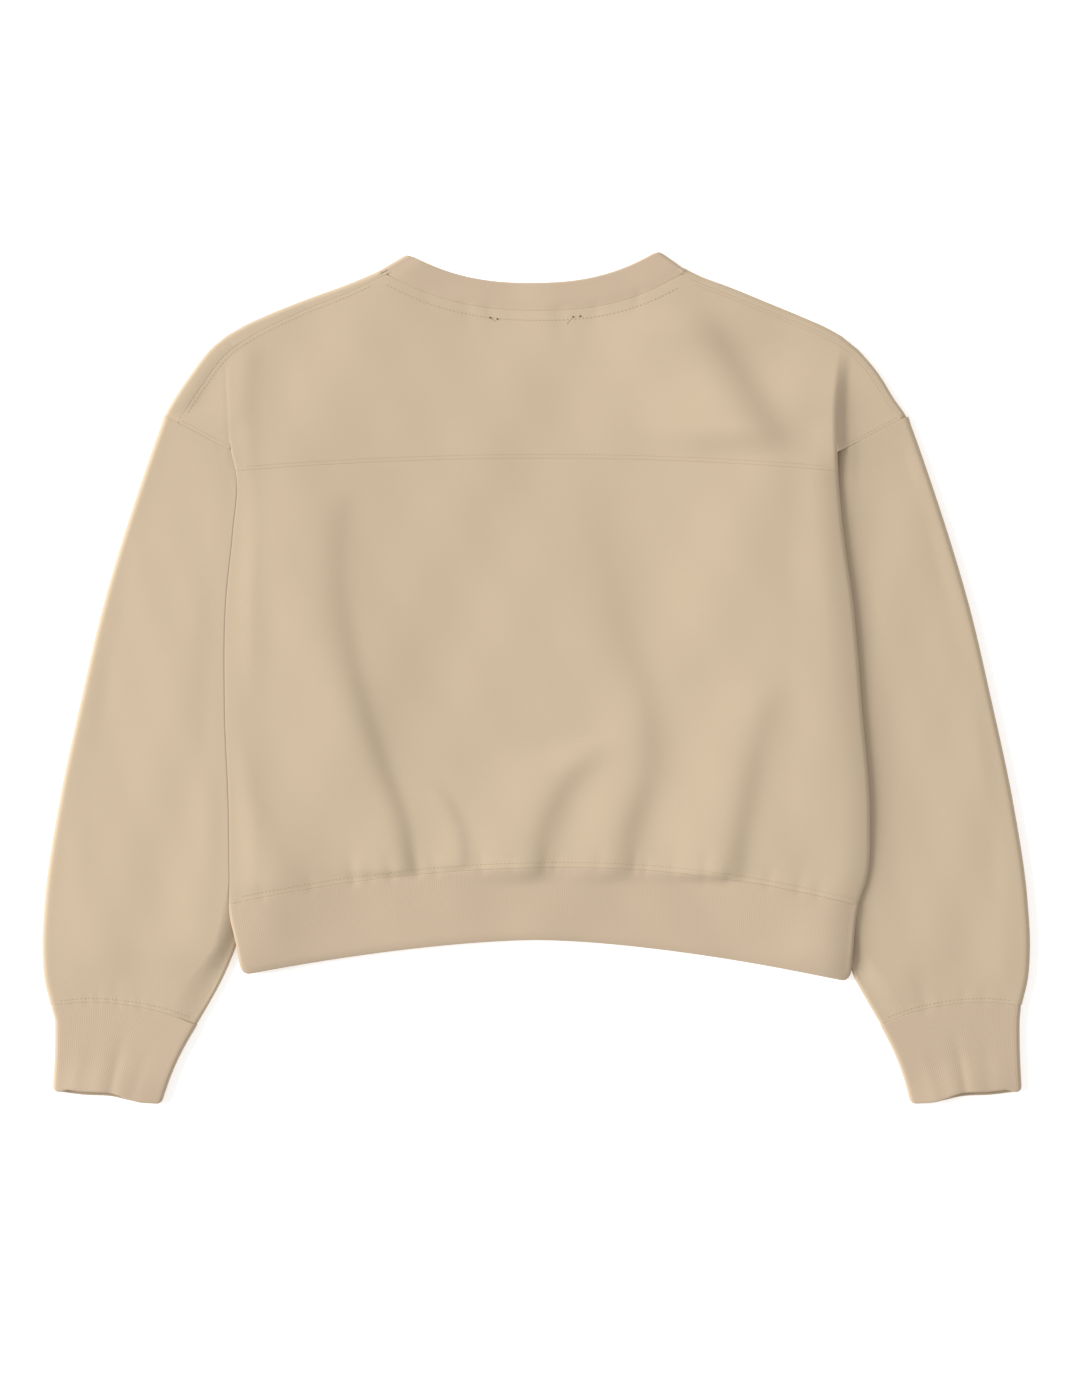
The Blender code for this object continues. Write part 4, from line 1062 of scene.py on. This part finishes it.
def sleeve_shares():
    """Shares of the way across a sleeve, close together where it comes out from under the body."""
    tucked = np.linspace(0, TUCKED_SHARE - CLOSE_SHARES[-1], 12)
    free = np.linspace(TUCKED_SHARE + CLOSE_SHARES[-1], 1, 56)
    beside = TUCKED_SHARE + np.array([-s for s in CLOSE_SHARES[:0:-1]] + list(CLOSE_SHARES))
    return np.concatenate([tucked[:-1], beside, free[1:]])


def sleeve_across(u, y, side):
    """The place at a share of the way across a sleeve's wall, between its folds."""
    inner = along(SLEEVES, "inner_left" if side < 0 else "inner_right", y) + SLEEVE_FOLD
    outer = along(SLEEVES, "outer", y) - SLEEVE_FOLD - OUTER_FULL
    beside = along(SIDES, "left" if side < 0 else "right", y) + BESIDE_BODY
    least = TUCKED_SHARE * (1 - 0.5 * ease(y, *NARROW_BEGINS))
    beside = np.maximum(beside, inner + least * (outer - inner))
    tucked = inner + (beside - inner) * u / TUCKED_SHARE
    free = beside + (outer - beside) * (u - TUCKED_SHARE) / (1 - TUCKED_SHARE)
    return np.where(u < TUCKED_SHARE, tucked, free)


def sleeve_sag(outside, y, u, side):
    """How much lower a sleeve's upper wall lies than between its two folds."""
    sag = RIGHT_SAG * ease(outside, *SAG_INSIDE) * (1 - ease(outside, *SAG_OUTSIDE)) * (side > 0)
    sag = sag * (1 - ease(u, OUTER_ENDS, 1.0)) * (1 - ease(y, *SAG_BEGINS))
    return sag + TUCKED_DIP * ease(y, *TUCKED_DIP_BEGINS) * (1 - ease(outside, -4, 6))


def sleeve_tube(side):
    """The rows of a sleeve from the cuff seam to the armhole."""
    u, turn, outward = round_tube(sleeve_shares(), 8)
    over = turn / math.pi  # 0 on the upper wall and 1 on the lower one
    upper = turn == 0
    shares = close_to_ends(SLEEVE_LENGTH, SEAM_STEPS, SLEEVE_SPACING) / SLEEVE_LENGTH
    gathers = LEFT_CUFF_GATHERS if side < 0 else RIGHT_CUFF_GATHERS
    rows = []
    for v in shares:
        x = 250.0 + 100 * u  # a first guess, because a point's X and Y depend on each other
        low = along(CUFFS, "seam", u) + SEAM_GAP / 2
        for _ in range(6):
            high = along(ARMHOLES, "back", x) * (1 - over) + along(ARMHOLES, "front", x) * over
            y = low + (high - SEAM_GAP / 2 - low) * v
            x = sleeve_across(u, y, side)
        full = 0.5 + 0.5 * ease(v, *FULL_BEGINS)
        fold = SLEEVE_FOLD + OUTER_FULL * ease(u, 0, TUCKED_SHARE) * full
        fold = fold + (BODY_FOLD - fold) * ease(v, *NARROWS_AGAIN)
        outside = past_edge(side * x, y)
        lift = gathered(gathers, x, y - low) - sleeve_sag(outside, y, u, side)
        free = ease(outside, *FREE_BEGINS) * (1 - ease(u, OUTER_ENDS, 0.99)) * ease(v, 0.0, 0.08)
        lift = lift + slow_waves(side * x * WAVE_ACROSS, y * WAVE_UP) * free
        z = FRONT_LEVEL + fold * (1 + np.cos(turn)) + np.where(upper, lift, 0)
        if side < 0:
            spent = np.clip((u - TUCKED_SHARE) / (1 - TUCKED_SHARE), 0, 1)
            close = ease(outside, *CLOSE_BESIDE) * (1 - 0.5 * spent - 0.5 * ease(spent, 0, 1))
            close = close * ease(u, 0, TUCKED_SHARE) * ease(y, *CLOSE_BEGINS)
            z = z + np.where(upper, (back_height(-x, y) + LEFT_STEP - z + lift) * close, 0)
        at_armhole = ease(high - y, ARMHOLE_REACH, 0) * ease(outside, 0, ARMHOLE_BESIDE)
        turned = np.where(outward > 0, (1 + np.cos(turn)) / 2, 0)
        top = np.where(upper, z, FRONT_LEVEL + 2 * fold)
        z = z + np.where(upper, 1, turned) * (back_height(side * x, high) - top) * at_armhole
        x = x + (fold + (outward > 0) * (OUTER_FULL + SLEEVE_FOLD - fold)) * np.sin(turn) * outward
        y = y + CAP_LAP * np.sin(turn) * (outward > 0) * ease(v, 0.985, 1)
        rows.append(np.stack([side * x, y, z], axis=1))
    return rows


CUFF_NEEDLE = 3.0  # how far above a cuff's seam its stitches run
ARMHOLE_NEEDLE = 2.8  # how far inside an armhole seam its stitches run, on the yoke

for side, name in ((-1, "left"), (1, "right")):
    sleeve = cloth_wall(name + "_sleeve", sleeve_tube(side), FLEECE, fleece, wraps=True)
    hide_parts("sleeve_" + name)
    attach(sleeve, "root")
    cuff_u = np.linspace(0.03, 0.97, 80)
    cuff_y = along(CUFFS, "seam", cuff_u) + CUFF_NEEDLE
    cuff_run = np.stack([side * sleeve_across(cuff_u, cuff_y, side), cuff_y], axis=1)
    places = np.linspace(234, 281, 40)
    armhole_run = np.stack([side * places, along(ARMHOLES, "back", places) + ARMHOLE_NEEDLE], axis=1)
    sewing = [
        stitched(name + "_cuff_stitching", [cuff_run], sleeve, thread, thick=0.5),
        stitched(name + "_cuff_stitching_below", [cuff_run], sleeve, thread, from_below=True),
        stitched(name + "_armhole_stitching", [armhole_run], yoke, thread),
    ]


# ----------------------------------------------------------
# Cuffs. Each is a ring of the same rib, folded double along its free end and sewn to the sleeve,
# which is wider and gathers into it. The lower wall shows a little past the upper one.
RIB_AIR = 1.6  # air between the two walls of a cuff
CUFF_LENGTH, CUFF_SPACING = 66, 2.2
CUFF_COLUMNS = 46
CUFF_FOLD = (RIB + RIB_AIR) / 2
CUFF_LIP = 2.8  # how far the lower wall shows past the upper one
CUFF_MOUTH = 1.8  # how far the upper wall stands open at the wrist
CUFF_CORNER = 3.0  # radius of the corners at its end
CUFF_WAIST = 2.6  # how far the inner side pulls in between the seam and the wrist
OUTER_WAIST = 0.8  # the same for the outer side
LEFT_CUFF_STEP, RIGHT_CUFF_STEP = 2.6, 0.8  # how far the outer side steps in from the fuller sleeve

# Soft creases along a cuff: place outwards at its seam and at its end, width, and height or depth.
CuffCrease = namedtuple("CuffCrease", "seam_share end_share width height")
LEFT_CREASES = (
    CuffCrease(0.50, 0.49, 5.0, -0.6),
    CuffCrease(0.62, 0.62, 6.0, 0.2),
    CuffCrease(0.24, 0.28, 6.0, -0.25),
    CuffCrease(0.80, 0.84, 6.0, 0.3),
)
RIGHT_CREASES = (
    CuffCrease(0.52, 0.52, 4.5, -0.7),
    CuffCrease(0.40, 0.40, 5.0, 0.2),
    CuffCrease(0.76, 0.74, 7.0, -0.4),
    CuffCrease(0.20, 0.22, 6.0, 0.3),
)


def cuff_ring(side):
    """The rows of a cuff from its seam to its end."""
    u, turn, outward = round_tube(np.linspace(0, 1, CUFF_COLUMNS), 7)
    upper = turn == 0
    low = along(CUFFS, "seam", u) - SEAM_GAP / 2
    seam_x = sleeve_across(u, low, side)
    end_x = along(CUFFS, "end_across", u) + CUFF_FOLD * (1 - 2 * u)
    lip = np.where(upper, ease(u, 0.15, 0.5) * (1 - ease(u, 0.88, 1)), 0)
    high = along(CUFFS, "end", u) + CUFF_LIP * lip
    width = end_x.max() - end_x.min()
    from_side = width * np.minimum(u, 1 - u) + CUFF_FOLD * (1 - np.sin(turn))
    high = high + rounded_corner(from_side, CUFF_CORNER)
    gathers = LEFT_CUFF_GATHERS if side < 0 else RIGHT_CUFF_GATHERS
    creases = LEFT_CREASES if side < 0 else RIGHT_CREASES
    step = LEFT_CUFF_STEP if side < 0 else RIGHT_CUFF_STEP
    rows = []
    for v in close_to_ends(CUFF_LENGTH, RIB_STEPS, CUFF_SPACING) / CUFF_LENGTH:
        x, y = seam_x + (end_x - seam_x) * v, low + (high - low) * v
        bend = math.sin(math.pi * v)
        x = x + CUFF_WAIST * bend * (1 - u) - step * ease(v, 0, 0.2) * u - OUTER_WAIST * bend * u
        z = RIB_LEVEL + CUFF_FOLD * (1 + np.cos(turn))
        mouth = CUFF_MOUTH * np.sin(math.pi * u) * ease(v, 0.55, 1)
        at_seam = gathered(gathers, x, np.zeros(len(x))) * (1 - ease(v, 0, 0.1))
        z = z + np.where(upper, mouth + at_seam, 0)
        for crease in creases:
            line = crease.seam_share + (crease.end_share - crease.seam_share) * v
            s = (u - line) * 100 / crease.width
            z = z + np.where(upper, crease.height * np.exp(-s * s) * ease(v, 0.15, 0.85), 0)
        x = x + CUFF_FOLD * np.sin(turn) * outward
        rows.append(np.stack([side * x, y, z], axis=1)[::-1])
    return rows


for side, name in ((-1, "left"), (1, "right")):
    cuff = cloth_wall(name + "_cuff", cuff_ring(side), RIB, rib, wraps=True, folded_end=True)
    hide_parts("cuff_" + name)
    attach(cuff, "root")


# ----------------------------------------------------------
# Hem rib. A ring of the same rib round the bottom of the body, folded double along its lower edge
# and sewn to the back and the front, with one row of stitches above the seam.
HEM_EDGE = Bow(0, -198.8, 224, -26.8, 236, -31.3, 1.6)
HEM_RIB_TOP, HEM_RIB_DROP = -171, 54  # Y of its seam beside the side folds, and how far down its edge is
HEM_LENGTH, HEM_SPACING = 55, 2.3
HEM_COLUMNS = 200
HEM_NEEDLE = 4.0  # how far above the seam the stitches run
HEM_CORNER = 6.0  # radius of the corners at its lower edge
HEM_ROLL = 1.3  # how far the upper wall rolls down towards its lower edge


def hem_ring():
    """The rows of the hem rib, from its seam down to its folded edge."""
    u, turn, outward = round_tube(np.linspace(0, 1, HEM_COLUMNS), 8)
    rows = []
    for v in close_to_ends(HEM_LENGTH, RIB_STEPS, HEM_SPACING) / HEM_LENGTH:
        edge_y = HEM_RIB_TOP - HEM_RIB_DROP * v
        left = -float(along(SIDES, "left", edge_y)) + BODY_FOLD
        right = float(along(SIDES, "right", edge_y)) - BODY_FOLD
        x = left + (right - left) * u
        from_side = (right - left) * np.minimum(u, 1 - u) + BODY_FOLD * (1 - np.sin(turn))
        bottom = bowed(HEM_EDGE, x) + rounded_corner(from_side, HEM_CORNER)
        top = bowed(HEM_SEAM, x) - SEAM_GAP / 2
        y = top + (bottom - top) * v
        upper, lower = back_height(x, y), RIB / 2 + front_rise(x, y)
        at_seam = gathered(HEM_GATHERS, x, np.zeros(len(x))) * (1 - ease(past_edge(x, y), *GATHERS_STOP))
        upper = upper + at_seam * (1 - ease(v, 0, 0.12)) - HEM_ROLL * ease(v, 0.88, 1) ** 2
        z = (upper + lower) / 2 + (upper - lower) / 2 * np.cos(turn)
        x = x + BODY_FOLD * np.sin(turn) * outward
        rows.append(np.stack([x, y, z], axis=1)[::-1])
    return rows


hem_rib = cloth_wall("hem_band", hem_ring(), RIB, rib, wraps=True, folded_end=True)
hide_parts("hem_rib")
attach(hem_rib, "root")
needle_x = np.linspace(-226, 244, 300)
hem_run = np.stack([needle_x, bowed(HEM_SEAM, needle_x) + HEM_NEEDLE], axis=1)
hem_stitching = stitched("hem_stitching", [hem_run], back, thread)
hem_stitching_below = stitched("hem_stitching_below", [hem_run], front, thread, from_below=True)


# ----------------------------------------------------------
# Floor, light and camera. A plain white table under a broad soft light from the upper left, seen
# from straight above.
FLOOR_SIZE = 7.0
FLOOR_COLOUR = (0.93, 0.93, 0.925, 1)
FLOOR_GLOW = 0.42  # brings the table up to plain white around the garment
FLOOR_LEVEL = -0.0003  # just under the cloth, so that the two surfaces don't meet
ROOM_LIGHT = 0.61
KEY_PLACE = (-9.0, 2.4, 4.6)
KEY_SIZE = 6.2
KEY_POWER = 1380
CAMERA_HEIGHT = 3.0
FRAME_HEIGHT = 1.0514  # metres of the floor that the picture's long side takes in
CAMERA_AIM = (0.003, -0.0076)
SENSOR = 36.0

floor_mesh = bpy.data.meshes.new("table_top")
half = FLOOR_SIZE / 2
corners = [(x * half, y * half, FLOOR_LEVEL) for x, y in ((-1, -1), (1, -1), (1, 1), (-1, 1))]
floor_mesh.from_pydata(corners, [], [(0, 1, 2, 3)])
floor = bpy.data.objects.new("table_top", floor_mesh)
floor_finish = Shader("white table")
floor_finish.surface.inputs["Base Color"].default_value = FLOOR_COLOUR
floor_finish.surface.inputs["Roughness"].default_value = 0.9
floor_finish.surface.inputs["Specular IOR Level"].default_value = 0.1
floor_finish.surface.inputs["Emission Color"].default_value = (1, 1, 1, 1)
floor_finish.surface.inputs["Emission Strength"].default_value = FLOOR_GLOW
floor_mesh.materials.append(floor_finish.material)
bpy.context.scene.collection.objects.link(floor)

room = bpy.data.worlds.new("room")
room.use_nodes = True
room.node_tree.nodes["Background"].inputs[0].default_value = (1.0, 1.0, 1.0, 1)
room.node_tree.nodes["Background"].inputs[1].default_value = ROOM_LIGHT
bpy.context.scene.world = room

key = bpy.data.lights.new("soft_window", "AREA")
key.shape = "SQUARE"
key.size = KEY_SIZE
key.energy = KEY_POWER
key_light = bpy.data.objects.new("soft_window", key)
key_light.location = KEY_PLACE
key_light.rotation_euler = (-Vector(KEY_PLACE)).to_track_quat("-Z", "Y").to_euler()
bpy.context.scene.collection.objects.link(key_light)

lens = bpy.data.cameras.new("camera")
lens.sensor_fit = "VERTICAL"
lens.sensor_height = SENSOR
lens.lens = SENSOR * CAMERA_HEIGHT / FRAME_HEIGHT
camera = bpy.data.objects.new("camera", lens)
camera.location = (*CAMERA_AIM, CAMERA_HEIGHT)
bpy.context.scene.collection.objects.link(camera)
bpy.context.scene.camera = camera
bpy.context.scene.view_settings.view_transform = "Standard"
